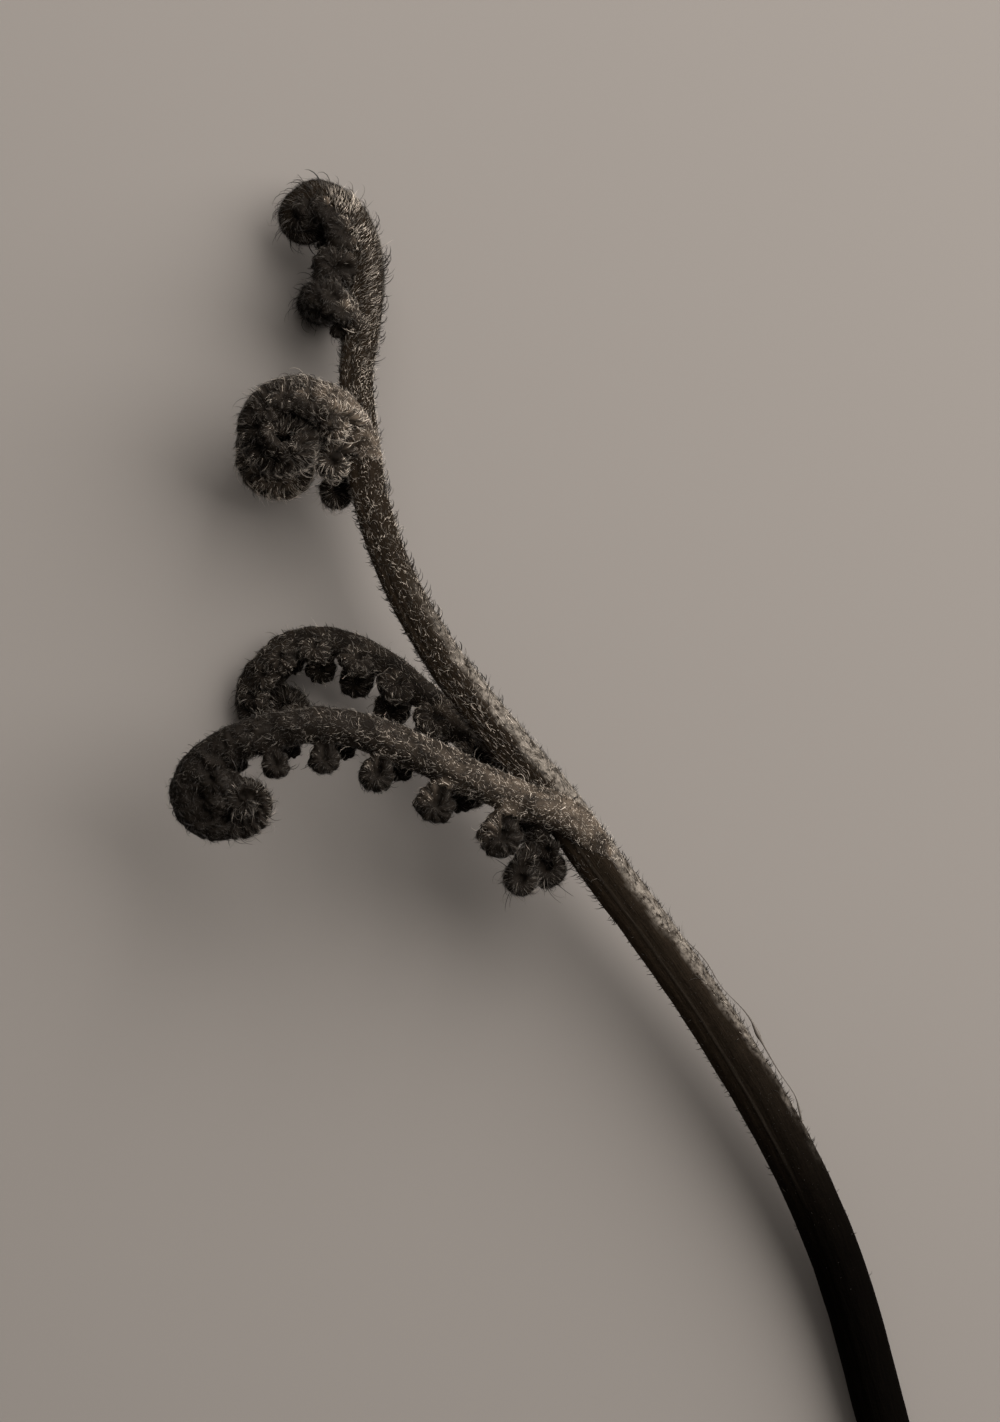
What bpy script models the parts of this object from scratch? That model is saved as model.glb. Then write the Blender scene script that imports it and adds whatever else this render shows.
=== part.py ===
"""A young bracken fern frond, still unrolling, that has been cut and laid flat.

The frond grew as one piece, so it is one solid. Its stalk carries three pairs of leaflets and ends in a curled
crown. Each leaflet is a rib that curls inwards at its tip, with two rows of small coiled buds on its inner side,
and most have a shoot or two with no buds at their base.
Lengths are in millimetres until the finished mesh is scaled to metres. The frond lies with its curls in the XY
plane and its tip towards +Y. The routes start from the joint of the lower pair, with Z from the ground up.
"""

import math
from collections import namedtuple

import bmesh
import bpy
from mathutils import Matrix, Vector

METRES_PER_MM = 0.001

# A route point is (x, y, z, half thickness).
# A curl turns on from the end of its route, with a bend radius that shrinks from first_bend to last_bend.
Curl = namedtuple("Curl", "turn first_bend last_bend tip_thickness tip_height")
# Buds stand in pairs: the first is `start` along the limb, and each gap and size is a share of the one before.
# Each of the two rows leans out of the XY plane by an angle, in degrees, and has its buds' middles `reach` of their
# size out from the rib's skin.
Buds = namedtuple("Buds", "start gap gap_ratio size size_ratio pairs upper lower")
Row = namedtuple("Row", "lean reach")
# A limb's tube has `sides` sides, with `rings` rings round its curl. It may follow several rules of buds.
Limb = namedtuple("Limb", "name sides rings route curl buds")

STALK = Limb(
    name="frond",
    sides=12,
    rings=10,
    route=(
        (39.0, -81.0, 3.00, 3.18),
        (37.1, -72.7, 3.05, 3.12),
        (32.4, -55.8, 4.2, 3.10),
        (26.3, -41.4, 6.0, 3.04),
        (18.0, -27.0, 8.0, 2.92),
        (9.8, -15.0, 10.0, 2.80),
        (3.4, -6.4, 11.3, 2.78),
        (-2.2, 1.4, 12.0, 2.70),
        (-8.4, 9.0, 12.3, 2.52),
        (-14.0, 16.2, 12.3, 2.34),
        (-18.7, 23.4, 12.1, 2.18),
        (-22.2, 30.6, 11.6, 2.11),
        (-24.5, 37.8, 10.9, 2.11),
        (-25.7, 45.0, 10.0, 2.16),
        (-26.3, 52.2, 8.8, 2.02),
        (-25.7, 58.2, 7.7, 2.15),
        (-25.1, 64.2, 6.7, 2.12),
        (-25.6, 68.6, 6.0, 2.10),
        (-27.1, 72.1, 5.5, 1.98),
        (-29.0, 74.0, 5.3, 1.86),
        (-31.4, 74.8, 5.1, 1.80),
        (-33.2, 73.8, 5.0, 1.68),
    ),
    curl=Curl(turn=320, first_bend=2.3, last_bend=1.0, tip_thickness=1.2, tip_height=5.0),
    buds=(
        Buds(
            start=157.0, gap=1.0, gap_ratio=1.0, size=1.0, size_ratio=1.0, pairs=1,
            upper=Row(20, 0.9), lower=Row(-50, 0.9),
        ),
        Buds(
            start=163.7, gap=1.0, gap_ratio=1.0, size=2.7, size_ratio=1.0, pairs=1,
            upper=Row(30, 0.93), lower=Row(-30, 0.93),
        ),
        Buds(
            start=169.0, gap=4.4, gap_ratio=0.86, size=2.2, size_ratio=0.87, pairs=2,
            upper=Row(50, 0.5), lower=Row(-35, 0.8),
        ),
    ),
)

LEAFLETS = (
    Limb(
        name="lower_front",
        sides=10,
        rings=13,
        route=(
            (5.2, -8.2, 11.4, 1.50),
            (2.0, -3.2, 12.7, 1.95),
            (-1.8, 0.4, 13.9, 2.16),
            (-6.6, 2.0, 15.4, 2.16),
            (-12.6, 4.6, 16.5, 2.16),
            (-18.6, 7.4, 17.2, 2.16),
            (-24.6, 9.8, 17.5, 2.14),
            (-30.8, 10.8, 17.6, 2.14),
            (-37.6, 9.6, 17.5, 2.28),
            (-42.4, 7.6, 17.4, 2.34),
            (-45.4, 4.9, 17.3, 2.34),
            (-46.2, 2.2, 17.2, 2.22),
            (-45.1, -0.1, 17.1, 2.05),
            (-42.7, -1.2, 17.0, 1.85),
            (-40.1, -1.2, 17.0, 1.65),
        ),
        curl=Curl(turn=430, first_bend=2.8, last_bend=0.7, tip_thickness=1.3, tip_height=16.8),
        buds=(
            Buds(
                start=16.2, gap=8.4, gap_ratio=0.96, size=2.6, size_ratio=0.89, pairs=6,
                upper=Row(14, 1.15), lower=Row(-56, 1.2),
            ),
            Buds(
                start=58.0, gap=4.4, gap_ratio=0.93, size=1.9, size_ratio=0.95, pairs=1,
                upper=Row(35, 0.45), lower=Row(-45, 0.45),
            ),
        ),
    ),
    Limb(
        name="lower_front_basal",
        sides=8,
        rings=6,
        route=(
            (-3.2, 0.0, 13.2, 1.40),
            (-4.5, -2.6, 12.6, 1.40),
            (-4.8, -5.0, 12.0, 1.35),
            (-4.5, -6.6, 11.6, 1.30),
        ),
        curl=Curl(turn=300, first_bend=1.3, last_bend=1.0, tip_thickness=1.0, tip_height=11.4),
        buds=(),
    ),
    Limb(
        name="lower_front_side",
        sides=8,
        rings=6,
        route=(
            (-4.6, -3.4, 12.6, 1.15),
            (-6.2, -5.4, 12.9, 1.20),
            (-7.3, -7.0, 13.0, 1.20),
        ),
        curl=Curl(turn=300, first_bend=1.15, last_bend=0.85, tip_thickness=0.85, tip_height=13.1),
        buds=(),
    ),
    Limb(
        name="lower_rear",
        sides=10,
        rings=10,
        route=(
            (2.4, -3.4, 11.0, 1.40),
            (-4.0, 1.9, 9.6, 1.80),
            (-8.4, 5.3, 8.3, 1.80),
            (-12.8, 9.0, 7.3, 1.78),
            (-17.4, 13.6, 6.4, 1.75),
            (-22.8, 18.1, 5.6, 1.73),
            (-27.6, 20.4, 4.8, 1.70),
            (-31.8, 21.0, 4.0, 1.68),
            (-35.5, 19.8, 3.2, 1.68),
            (-38.4, 16.9, 2.4, 1.68),
            (-39.4, 14.1, 1.9, 1.62),
            (-39.0, 12.0, 1.5, 1.56),
            (-37.2, 10.7, 1.3, 1.50),
        ),
        curl=Curl(turn=330, first_bend=2.9, last_bend=1.1, tip_thickness=1.2, tip_height=1.1),
        buds=(
            Buds(
                start=16.6, gap=6.7, gap_ratio=0.96, size=2.4, size_ratio=0.92, pairs=5,
                upper=Row(56, 0.5), lower=Row(-14, 0.95),
            ),
            Buds(
                start=47.4, gap=5.2, gap_ratio=0.94, size=1.9, size_ratio=0.94, pairs=1,
                upper=Row(56, 0.35), lower=Row(-40, 0.35),
            ),
        ),
    ),
    Limb(
        name="middle_front",
        sides=10,
        rings=14,
        route=(
            (-24.6, 40.6, 10.2, 1.50),
            (-25.3, 44.2, 10.9, 1.90),
            (-26.8, 47.2, 12.2, 2.04),
            (-28.9, 49.2, 13.4, 2.10),
            (-31.6, 50.3, 14.0, 2.10),
        ),
        curl=Curl(turn=430, first_bend=5.9, last_bend=1.4, tip_thickness=1.7, tip_height=15.4),
        buds=(
            Buds(
                start=8.8, gap=5.4, gap_ratio=0.92, size=2.2, size_ratio=0.93, pairs=4,
                upper=Row(64, 0.5), lower=Row(-56, 0.7),
            ),
        ),
    ),
    Limb(
        name="middle_front_basal",
        sides=8,
        rings=6,
        route=(
            (-25.6, 43.2, 10.6, 1.10),
            (-27.6, 43.8, 12.0, 1.25),
            (-29.3, 43.4, 12.6, 1.25),
        ),
        curl=Curl(turn=300, first_bend=1.2, last_bend=0.8, tip_thickness=0.9, tip_height=12.8),
        buds=(),
    ),
    Limb(
        name="middle_rear",
        sides=8,
        rings=12,
        route=(
            (-24.4, 41.2, 9.9, 1.30),
            (-26.8, 45.2, 8.2, 1.92),
            (-29.3, 47.2, 7.0, 1.92),
            (-32.5, 48.1, 6.4, 1.92),
        ),
        curl=Curl(turn=430, first_bend=6.2, last_bend=1.4, tip_thickness=1.4, tip_height=5.8),
        buds=(
            Buds(
                start=6.9, gap=5.4, gap_ratio=0.92, size=2.1, size_ratio=0.93, pairs=2,
                upper=Row(56, 0.7), lower=Row(-62, 0.5),
            ),
        ),
    ),
    Limb(
        name="middle_rear_basal",
        sides=8,
        rings=6,
        route=(
            (-25.4, 43.4, 9.0, 1.15),
            (-27.6, 41.2, 8.2, 1.15),
            (-29.2, 39.9, 7.8, 1.15),
        ),
        curl=Curl(turn=270, first_bend=1.3, last_bend=1.0, tip_thickness=0.9, tip_height=7.6),
        buds=(),
    ),
    Limb(
        name="upper_front",
        sides=8,
        rings=10,
        route=(
            (-25.6, 57.6, 7.8, 1.44),
            (-27.0, 60.2, 9.4, 1.40),
            (-29.0, 62.5, 10.4, 1.40),
        ),
        curl=Curl(turn=400, first_bend=1.6, last_bend=0.7, tip_thickness=1.0, tip_height=10.8),
        buds=(
            Buds(
                start=3.4, gap=2.6, gap_ratio=0.9, size=1.4, size_ratio=0.92, pairs=1,
                upper=Row(58, 0.3), lower=Row(-58, 0.3),
            ),
        ),
    ),
    Limb(
        name="upper_rear",
        sides=8,
        rings=10,
        route=(
            (-25.6, 56.9, 7.6, 1.32),
            (-27.0, 59.6, 4.4, 1.38),
            (-28.9, 62.6, 1.4, 1.38),
        ),
        curl=Curl(turn=400, first_bend=2.1, last_bend=1.0, tip_thickness=1.0, tip_height=0.6),
        buds=(
            Buds(
                start=2.2, gap=3.4, gap_ratio=0.88, size=1.5, size_ratio=0.92, pairs=2,
                upper=Row(58, 0.4), lower=Row(-58, 0.4),
            ),
        ),
    ),
)

# A bud leaves its rib and hooks back round its middle, which is a little ahead of where it leaves.
BUD_SIDES = 6
BUD_RINGS = 5
BUD_TURN = math.radians(265)
BUD_LEAD = 0.55
BUD_BEND = 0.54
BUD_STEM = 0.42
BUD_TIP = 0.34
# The lower bud of a pair stands a little nearer the limb's base.
LOWER_BUD_SHIFT = 0.25

RINGS_PER_ROUTE_POINT = 2
# A tube ends in a dome with rings at these angles from its side.
DOME_ANGLES = (math.radians(45), math.radians(78))
MERGE_DISTANCE = 1e-5
# Corners that the union leaves this close together become one.
WELD_DISTANCE = 0.05

SKIN_COLOUR = (0.060, 0.045, 0.034, 1.0)
SKIN_ROUGHNESS = 0.75


def clear_scene():
    for thing in list(bpy.data.objects):
        bpy.data.objects.remove(thing, do_unlink=True)


def frond_material():
    material = bpy.data.materials.new("frond_skin")
    material.use_nodes = True
    shader = material.node_tree.nodes["Principled BSDF"]
    shader.inputs["Base Color"].default_value = SKIN_COLOUR
    shader.inputs["Roughness"].default_value = SKIN_ROUGHNESS
    shader.inputs["Metallic"].default_value = 0.0
    return material


def smooth_route(route):
    """Points of a smooth curve through the route. Half thickness follows along as a fourth coordinate."""
    knots = [Vector(point) for point in route]
    knots = [2 * knots[0] - knots[1], *knots, 2 * knots[-1] - knots[-2]]
    samples = []
    for before, near, far, after in zip(knots, knots[1:], knots[2:], knots[3:]):
        for step in range(RINGS_PER_ROUTE_POINT):
            t = step / RINGS_PER_ROUTE_POINT
            samples.append(
                near
                + 0.5 * t * (far - before)
                + t**2 * (before - 2.5 * near + 2 * far - 0.5 * after)
                + t**3 * (1.5 * (near - far) + 0.5 * (after - before))
            )
    samples.append(knots[-2])
    return samples


def curled_tip(path, curl, rings):
    """Points that go on from the end of a path and wind inwards, as a fiddlehead does."""
    start = path[-1]
    heading = math.atan2(start.y - path[-2].y, start.x - path[-2].x)
    turn = math.radians(curl.turn) / rings
    place = start.copy()
    points = []
    for ring in range(rings):
        share = (ring + 1) / rings
        bend = curl.first_bend * (curl.last_bend / curl.first_bend) ** share
        place.x += bend * turn * math.cos(heading + turn / 2)
        place.y += bend * turn * math.sin(heading + turn / 2)
        place.z = start.z + (curl.tip_height - start.z) * share
        place.w = start.w + (curl.tip_thickness - start.w) * share
        heading += turn
        points.append(place.copy())
    return points


def limb_path(limb):
    path = smooth_route(limb.route)
    return path + curled_tip(path, limb.curl, limb.rings)


def rounded_end(path):
    """The path with its tip drawn in, so that the tube ends in a blunt dome and not in a flat disc."""
    end = path[-1]
    ahead = (end - path[-2]).to_3d().normalized()
    dome = []
    for angle in DOME_ANGLES:
        place = end.to_3d() + ahead * end.w * math.sin(angle)
        dome.append(Vector((*place, end.w * math.cos(angle))))
    return path + dome


def tube(name, path, sides):
    """A closed mesh object: a round tube along (x, y, z, half thickness) points."""
    curve = bpy.data.curves.new(name, "CURVE")
    curve.dimensions = "3D"
    curve.twist_mode = "Z_UP"
    curve.bevel_depth = 1.0
    curve.bevel_resolution = sides // 2 - 2
    curve.use_fill_caps = True
    spline = curve.splines.new("POLY")
    spline.points.add(len(path) - 1)
    for point, place in zip(spline.points, path):
        point.co = (*place.to_3d(), 1.0)
        point.radius = place.w
    guide = bpy.data.objects.new(name, curve)
    mesh = bpy.data.meshes.new_from_object(guide)
    bpy.data.objects.remove(guide)
    bpy.data.curves.remove(curve)
    shape = bmesh.new()
    shape.from_mesh(mesh)
    bmesh.ops.remove_doubles(shape, verts=shape.verts, dist=MERGE_DISTANCE)
    bmesh.ops.recalc_face_normals(shape, faces=shape.faces)
    shape.to_mesh(mesh)
    shape.free()
    return bpy.data.objects.new(name, mesh)


def bud_path(spot, ahead, lean, reach, size):
    """A small stem that leaves the rib towards a bud's middle, and hooks back round it."""
    inward = Vector((-ahead.y, ahead.x, 0)).normalized()
    across = inward * math.cos(lean) + Vector((0, 0, 1)) * math.sin(lean)
    bend = BUD_BEND * size
    middle_along = BUD_LEAD * size
    middle_out = spot.w + reach * size
    distance = math.hypot(middle_along, middle_out)
    heading = math.atan2(middle_out, middle_along) - math.asin(bend / distance)
    stem = math.sqrt(distance**2 - bend**2)
    along, out = stem * math.cos(heading), stem * math.sin(heading)
    turn = BUD_TURN / BUD_RINGS
    base = spot.to_3d()
    points = [Vector((*base, BUD_STEM * size)), Vector((*(base + ahead * along + across * out), BUD_BEND * size))]
    for ring in range(BUD_RINGS):
        along += bend * turn * math.cos(heading + turn / 2)
        out += bend * turn * math.sin(heading + turn / 2)
        heading += turn
        share = (ring + 1) / BUD_RINGS
        thickness = size * (BUD_BEND + (BUD_TIP - BUD_BEND) * share)
        points.append(Vector((*(base + ahead * along + across * out), thickness)))
    return points


def distances_along(path):
    travelled = [0.0]
    for a, b in zip(path, path[1:]):
        travelled.append(travelled[-1] + (b - a).to_3d().length)
    return travelled


def spot_at(path, travelled, distance):
    """The point of a path at a distance along it, and the direction of the path there."""
    index = max(i for i, far in enumerate(travelled[:-1]) if far <= distance)
    share = (distance - travelled[index]) / (travelled[index + 1] - travelled[index])
    ahead = (path[index + 1] - path[index]).to_3d().normalized()
    return path[index].lerp(path[index + 1], share), ahead


def bud_rows(limb, path):
    """Paths of the two rows of buds on a limb, by the limb's own rules of gaps and sizes."""
    travelled = distances_along(path)
    rows = []
    for rule in limb.buds:
        place, gap, size = rule.start, rule.gap, rule.size
        for _ in range(rule.pairs):
            for row, distance in ((rule.upper, place), (rule.lower, place - LOWER_BUD_SHIFT * gap)):
                spot, ahead = spot_at(path, travelled, distance)
                rows.append(bud_path(spot, ahead, math.radians(row.lean), row.reach, size))
            place += gap
            gap *= rule.gap_ratio
            size *= rule.size_ratio
    return rows


def join_in_one(body, shapes):
    """One Boolean union of the body with all the shapes, which are then removed."""
    collection = bpy.data.collections.new("growing_on_the_stalk")
    bpy.context.scene.collection.children.link(collection)
    for shape in shapes:
        collection.objects.link(shape)
    union = body.modifiers.new("union", "BOOLEAN")
    union.operation = "UNION"
    union.operand_type = "COLLECTION"
    union.collection = collection
    union.solver = "MANIFOLD"
    bpy.context.view_layer.update()
    joined = bpy.data.meshes.new_from_object(body.evaluated_get(bpy.context.evaluated_depsgraph_get()))
    body.modifiers.clear()
    body.data = joined
    for shape in shapes:
        bpy.data.objects.remove(shape)
    bpy.data.collections.remove(collection)


def flatten_where_it_rests(body):
    """Cuts off what would reach below z = 0, so that the frond lies on a few small flat spots."""
    shape = bmesh.new()
    shape.from_mesh(body.data)
    everything = [*shape.verts, *shape.edges, *shape.faces]
    bmesh.ops.bisect_plane(shape, geom=everything, plane_co=(0, 0, 0), plane_no=(0, 0, -1), clear_outer=True)
    rims = [edge for edge in shape.edges if edge.is_boundary]
    spots = bmesh.ops.holes_fill(shape, edges=rims)["faces"]
    bmesh.ops.triangulate(shape, faces=spots)
    shape.to_mesh(body.data)
    shape.free()


def keep_outer_skin(body):
    """Drops loose scraps and fills the small hollows that the union sealed, by keeping the largest shell only."""
    shape = bmesh.new()
    shape.from_mesh(body.data)
    bmesh.ops.remove_doubles(shape, verts=shape.verts, dist=WELD_DISTANCE)
    bmesh.ops.triangulate(shape, faces=shape.faces)
    unseen = set(shape.faces)
    shells = []
    while unseen:
        shell, rim = set(), [unseen.pop()]
        while rim:
            face = rim.pop()
            shell.add(face)
            # A hollow may touch the skin along an edge, which then has four faces.
            sides = [edge for edge in face.edges if len(edge.link_faces) == 2]
            beside = {other for edge in sides for other in edge.link_faces} & unseen
            unseen -= beside
            rim.extend(beside)
        shells.append(shell)
    largest = max(shells, key=len)
    bmesh.ops.delete(shape, geom=[f for f in shape.faces if f not in largest], context="FACES")
    shape.to_mesh(body.data)
    shape.free()


def stand_on_origin(body):
    """Puts the origin under the middle of the frond, level with its flat spots, and scales it to metres."""
    places = [v.co for v in body.data.vertices]
    middle = [(min(p[i] for p in places) + max(p[i] for p in places)) / 2 for i in (0, 1)]
    body.data.transform(Matrix.Translation((-middle[0], -middle[1], 0)))
    body.data.transform(Matrix.Scale(METRES_PER_MM, 4))


def limb_tubes(limb):
    """The limb's own tube, and then a tube for each of its buds."""
    path = limb_path(limb)
    tubes = [tube(limb.name, rounded_end(path), limb.sides)]
    tubes.extend(tube(f"{limb.name}_bud", points, BUD_SIDES) for points in bud_rows(limb, path))
    return tubes


def build_frond():
    frond, *shapes = limb_tubes(STALK)
    bpy.context.scene.collection.objects.link(frond)
    for leaflet in LEAFLETS:
        shapes.extend(limb_tubes(leaflet))
    join_in_one(frond, shapes)
    flatten_where_it_rests(frond)
    keep_outer_skin(frond)
    stand_on_origin(frond)
    frond.data.materials.clear()
    frond.data.materials.append(frond_material())
    frond.data.shade_smooth()
    return frond


clear_scene()
build_frond()
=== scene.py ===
"""A young bracken fern frond, still unrolling, cut and laid flat: its skin, its hair and its cut end.

The stalk and its leaflets follow the routes of the solid that they stand for. Those routes start from the
joint of the lower pair. Everything is worked out in millimetres and scaled to metres last.
"""

import math
from collections import namedtuple
from functools import partialmethod

import bmesh
import bpy
import numpy as np
from mathutils import Matrix, Vector


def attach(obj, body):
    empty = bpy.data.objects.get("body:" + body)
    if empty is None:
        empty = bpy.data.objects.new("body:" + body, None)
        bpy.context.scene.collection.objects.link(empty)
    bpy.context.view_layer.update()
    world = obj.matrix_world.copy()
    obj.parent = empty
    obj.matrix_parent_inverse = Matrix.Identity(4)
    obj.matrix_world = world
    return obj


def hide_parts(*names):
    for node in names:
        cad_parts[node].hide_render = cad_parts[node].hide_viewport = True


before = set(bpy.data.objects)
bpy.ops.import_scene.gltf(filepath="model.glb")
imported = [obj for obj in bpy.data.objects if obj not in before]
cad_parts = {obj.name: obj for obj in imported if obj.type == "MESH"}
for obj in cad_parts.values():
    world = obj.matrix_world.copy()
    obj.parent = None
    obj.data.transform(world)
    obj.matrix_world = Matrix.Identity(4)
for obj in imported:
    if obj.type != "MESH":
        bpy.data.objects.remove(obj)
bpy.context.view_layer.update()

NODE = "frond"
METRES_PER_MM = 0.001
# The joint of the lower pair, from the middle of the footprint.
JOINT_PLACE = np.array((3.1516, 2.5385, 0.0))

# The routes of the solid

# A route point is (x, y, z, half thickness). A curl turns on from its route by `turn` degrees. `bends` are
# its first and last bend radius, and `tip` is the height and the half thickness of its tip.
Curl = namedtuple("Curl", "turn bends tip")
# Buds stand in pairs from `start` on. `gaps` and `sizes` are the first one and the ratio of each to the
# last. `upper` and `lower` are the rows: their lean out of the XY plane, in degrees, and how many sizes
# their buds' middles are out from the rib's skin.
Buds = namedtuple("Buds", "start sizes upper lower gaps pairs", defaults=((1.0, 1.0), 1))
# `tones` says how light a limb's hair is: pairs of a distance along it and a lightness. That lightness is
# partly the hair's own and partly painted light and shade: it is raised where a limb lies in shadow and on
# stretches that face the light, and lowered in the valleys between buds. `bud_tone` is that of its buds, away
# from their stems.
Limb = namedtuple("Limb", "route curl tones buds bud_tone", defaults=((), None))

STALK = Limb(
    route=(
        (39.0, -81.0, 3.0, 3.18), (37.1, -72.7, 3.05, 3.12), (32.4, -55.8, 4.2, 3.1),
        (26.3, -41.4, 6.0, 3.04), (18.0, -27.0, 8.0, 2.92), (9.8, -15.0, 10.0, 2.8),
        (3.4, -6.4, 11.3, 2.78), (-2.2, 1.4, 12.0, 2.7), (-8.4, 9.0, 12.3, 2.52),
        (-14.0, 16.2, 12.3, 2.34), (-18.7, 23.4, 12.1, 2.18), (-22.2, 30.6, 11.6, 2.11),
        (-24.5, 37.8, 10.9, 2.11), (-25.7, 45.0, 10.0, 2.16), (-26.3, 52.2, 8.8, 2.02),
        (-25.7, 58.2, 7.7, 2.15), (-25.1, 64.2, 6.7, 2.12), (-25.6, 68.6, 6.0, 2.1),
        (-27.1, 72.1, 5.5, 1.98), (-29.0, 74.0, 5.3, 1.86), (-31.4, 74.8, 5.1, 1.8),
        (-33.2, 73.8, 5.0, 1.68),
    ),
    curl=Curl(turn=320, bends=(2.3, 1.0), tip=(5.0, 1.2)),
    buds=(
        Buds(start=157.0, sizes=(1.0, 1.0), upper=(20, 0.9), lower=(-50, 0.9)),
        Buds(start=163.7, sizes=(2.7, 1.0), upper=(30, 0.93), lower=(-30, 0.93)),
        Buds(start=169.0, gaps=(4.4, 0.86), sizes=(2.2, 0.87), pairs=6, upper=(50, 0.5), lower=(-35, 0.8)),
    ),
    # On the crown the peaks at 169 and 173.4 are painted highlights: bright crescents on silky hair, with
    # darker hair between them.
    tones=(
        (84, 0.9), (104, 2.0), (118, 1.7), (130, 1.8), (137, 2.5), (144, 2.4), (150, 2.1), (157, 1.6),
        (163, 0.8), (166, 0.9), (169, 2.6), (171, 0.4), (173.4, 2.8), (175.5, 0.5), (178, 0.3),
    ),
    bud_tone=0.2,
)

LOWER_FRONT = Limb(
    route=(
        (5.2, -8.2, 11.4, 1.5), (2.0, -3.2, 12.7, 1.95), (-1.8, 0.4, 13.9, 2.16),
        (-6.6, 2.0, 15.4, 2.16), (-12.6, 4.6, 16.5, 2.16), (-18.6, 7.4, 17.2, 2.16),
        (-24.6, 9.8, 17.5, 2.14), (-30.8, 10.8, 17.6, 2.14), (-37.6, 9.6, 17.5, 2.28),
        (-42.4, 7.6, 17.4, 2.34), (-45.4, 4.9, 17.3, 2.34), (-46.2, 2.2, 17.2, 2.22),
        (-45.1, -0.1, 17.1, 2.05), (-42.7, -1.2, 17.0, 1.85), (-40.1, -1.2, 17.0, 1.65),
    ),
    curl=Curl(turn=430, bends=(2.8, 0.7), tip=(18.8, 1.3)),
    buds=(
        Buds(start=16.2, gaps=(8.4, 0.96), sizes=(2.6, 0.89), pairs=6, upper=(14, 1.15), lower=(-56, 1.2)),
        Buds(start=57.0, gaps=(3.4, 0.93), sizes=(1.7, 0.92), pairs=3, upper=(35, 0.45), lower=(-45, 0.45)),
    ),
    tones=(
        (0, 5.0), (8, 5.0), (14, 4.2), (20, 3.2), (28, 2.1), (36, 1.2), (44, 0.6), (52, 0.25), (60, 0.12),
        (70, 0.15), (73, 0.7), (80, 0.6), (84, 0.1),
    ),
    bud_tone=0.16,
)

LOWER_FRONT_BASAL = Limb(
    route=(
        (-3.2, 0.0, 13.2, 1.4), (-4.5, -2.6, 12.6, 1.4), (-4.8, -5.0, 12.0, 1.35),
        (-4.5, -6.6, 11.6, 1.3),
    ),
    curl=Curl(turn=300, bends=(1.3, 1.0), tip=(11.4, 1.0)),
    buds=(
        Buds(start=3.4, sizes=(1.3, 1.0), upper=(20, 0.3), lower=(-50, 0.4)),
    ),
    tones=((0, 0.7), (5, 0.4)),
    bud_tone=0.35,
)

LOWER_FRONT_SIDE = Limb(
    route=((-4.6, -3.4, 12.6, 1.15), (-6.2, -5.4, 12.9, 1.2), (-7.3, -7.0, 13.0, 1.2)),
    curl=Curl(turn=300, bends=(1.15, 0.85), tip=(13.1, 0.85)),
    tones=((0, 0.7), (5, 0.4)),
)

LOWER_REAR = Limb(
    route=(
        (2.4, -3.4, 11.0, 1.4), (-4.0, 1.9, 9.6, 1.8), (-8.4, 5.3, 8.3, 1.8),
        (-12.8, 9.0, 7.3, 1.78), (-17.4, 13.6, 6.4, 1.75), (-22.8, 18.1, 5.6, 1.73),
        (-27.6, 20.4, 4.8, 1.7), (-31.8, 21.0, 4.0, 1.68), (-35.5, 19.8, 3.2, 1.68),
        (-38.4, 16.9, 2.4, 1.68), (-39.4, 14.1, 1.9, 1.62), (-39.0, 12.0, 1.5, 1.56),
        (-37.2, 10.7, 1.3, 1.5),
    ),
    curl=Curl(turn=330, bends=(2.9, 1.1), tip=(1.1, 1.2)),
    buds=(
        Buds(start=16.6, gaps=(6.7, 0.96), sizes=(2.6, 0.92), pairs=5, upper=(56, 0.5), lower=(-14, 0.95)),
        Buds(start=46.6, gaps=(3.5, 0.94), sizes=(1.9, 0.94), pairs=6, upper=(56, 0.35), lower=(-40, 0.35)),
    ),
    tones=(
        (0, 5.0), (16.6, 4.4), (20.0, 2.0), (23.3, 3.4), (26.5, 1.2), (29.7, 2.6), (32.8, 0.8), (35.9, 2.0),
        (38.9, 0.6), (41.8, 1.6), (44.2, 0.6), (46.6, 1.3), (48.4, 0.5), (50.1, 1.1), (51.8, 0.4),
        (53.4, 0.9), (55.0, 0.4), (56.5, 0.9), (58.0, 0.5), (59.4, 0.8), (64.0, 0.7),
    ),
    bud_tone=0.9,
)

MIDDLE_FRONT = Limb(
    route=(
        (-24.6, 40.6, 10.2, 1.5), (-25.3, 44.2, 10.9, 1.9), (-26.8, 47.2, 12.2, 2.04),
        (-28.9, 49.2, 13.4, 2.1), (-31.6, 50.3, 14.0, 2.1),
    ),
    curl=Curl(turn=430, bends=(5.9, 1.4), tip=(15.4, 1.7)),
    buds=(
        Buds(start=8.8, gaps=(3.6, 0.92), sizes=(2.2, 0.93), pairs=9, upper=(64, 0.5), lower=(-56, 0.7)),
    ),
    tones=((0, 4.0), (9, 4.5), (14, 1.7), (20, 0.5), (26, 0.5), (31, 0.6), (36, 0.7), (42, 0.65), (50, 1.5)),
    bud_tone=0.5,
)

MIDDLE_FRONT_BASAL = Limb(
    route=((-25.6, 43.2, 10.6, 1.1), (-27.6, 43.8, 12.0, 1.25), (-29.3, 43.4, 12.6, 1.25)),
    curl=Curl(turn=300, bends=(1.2, 0.8), tip=(12.8, 0.9)),
    tones=((0, 1.4), (5, 1.4)),
)

MIDDLE_FRONT_INNER = Limb(
    route=((-25.6, 45.0, 11.5, 1.1), (-26.6, 47.3, 13.6, 1.2), (-28.2, 48.1, 14.8, 1.2)),
    curl=Curl(turn=300, bends=(1.3, 0.9), tip=(15.0, 0.9)),
    tones=((0, 3.6), (5, 3.2)),
)

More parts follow.
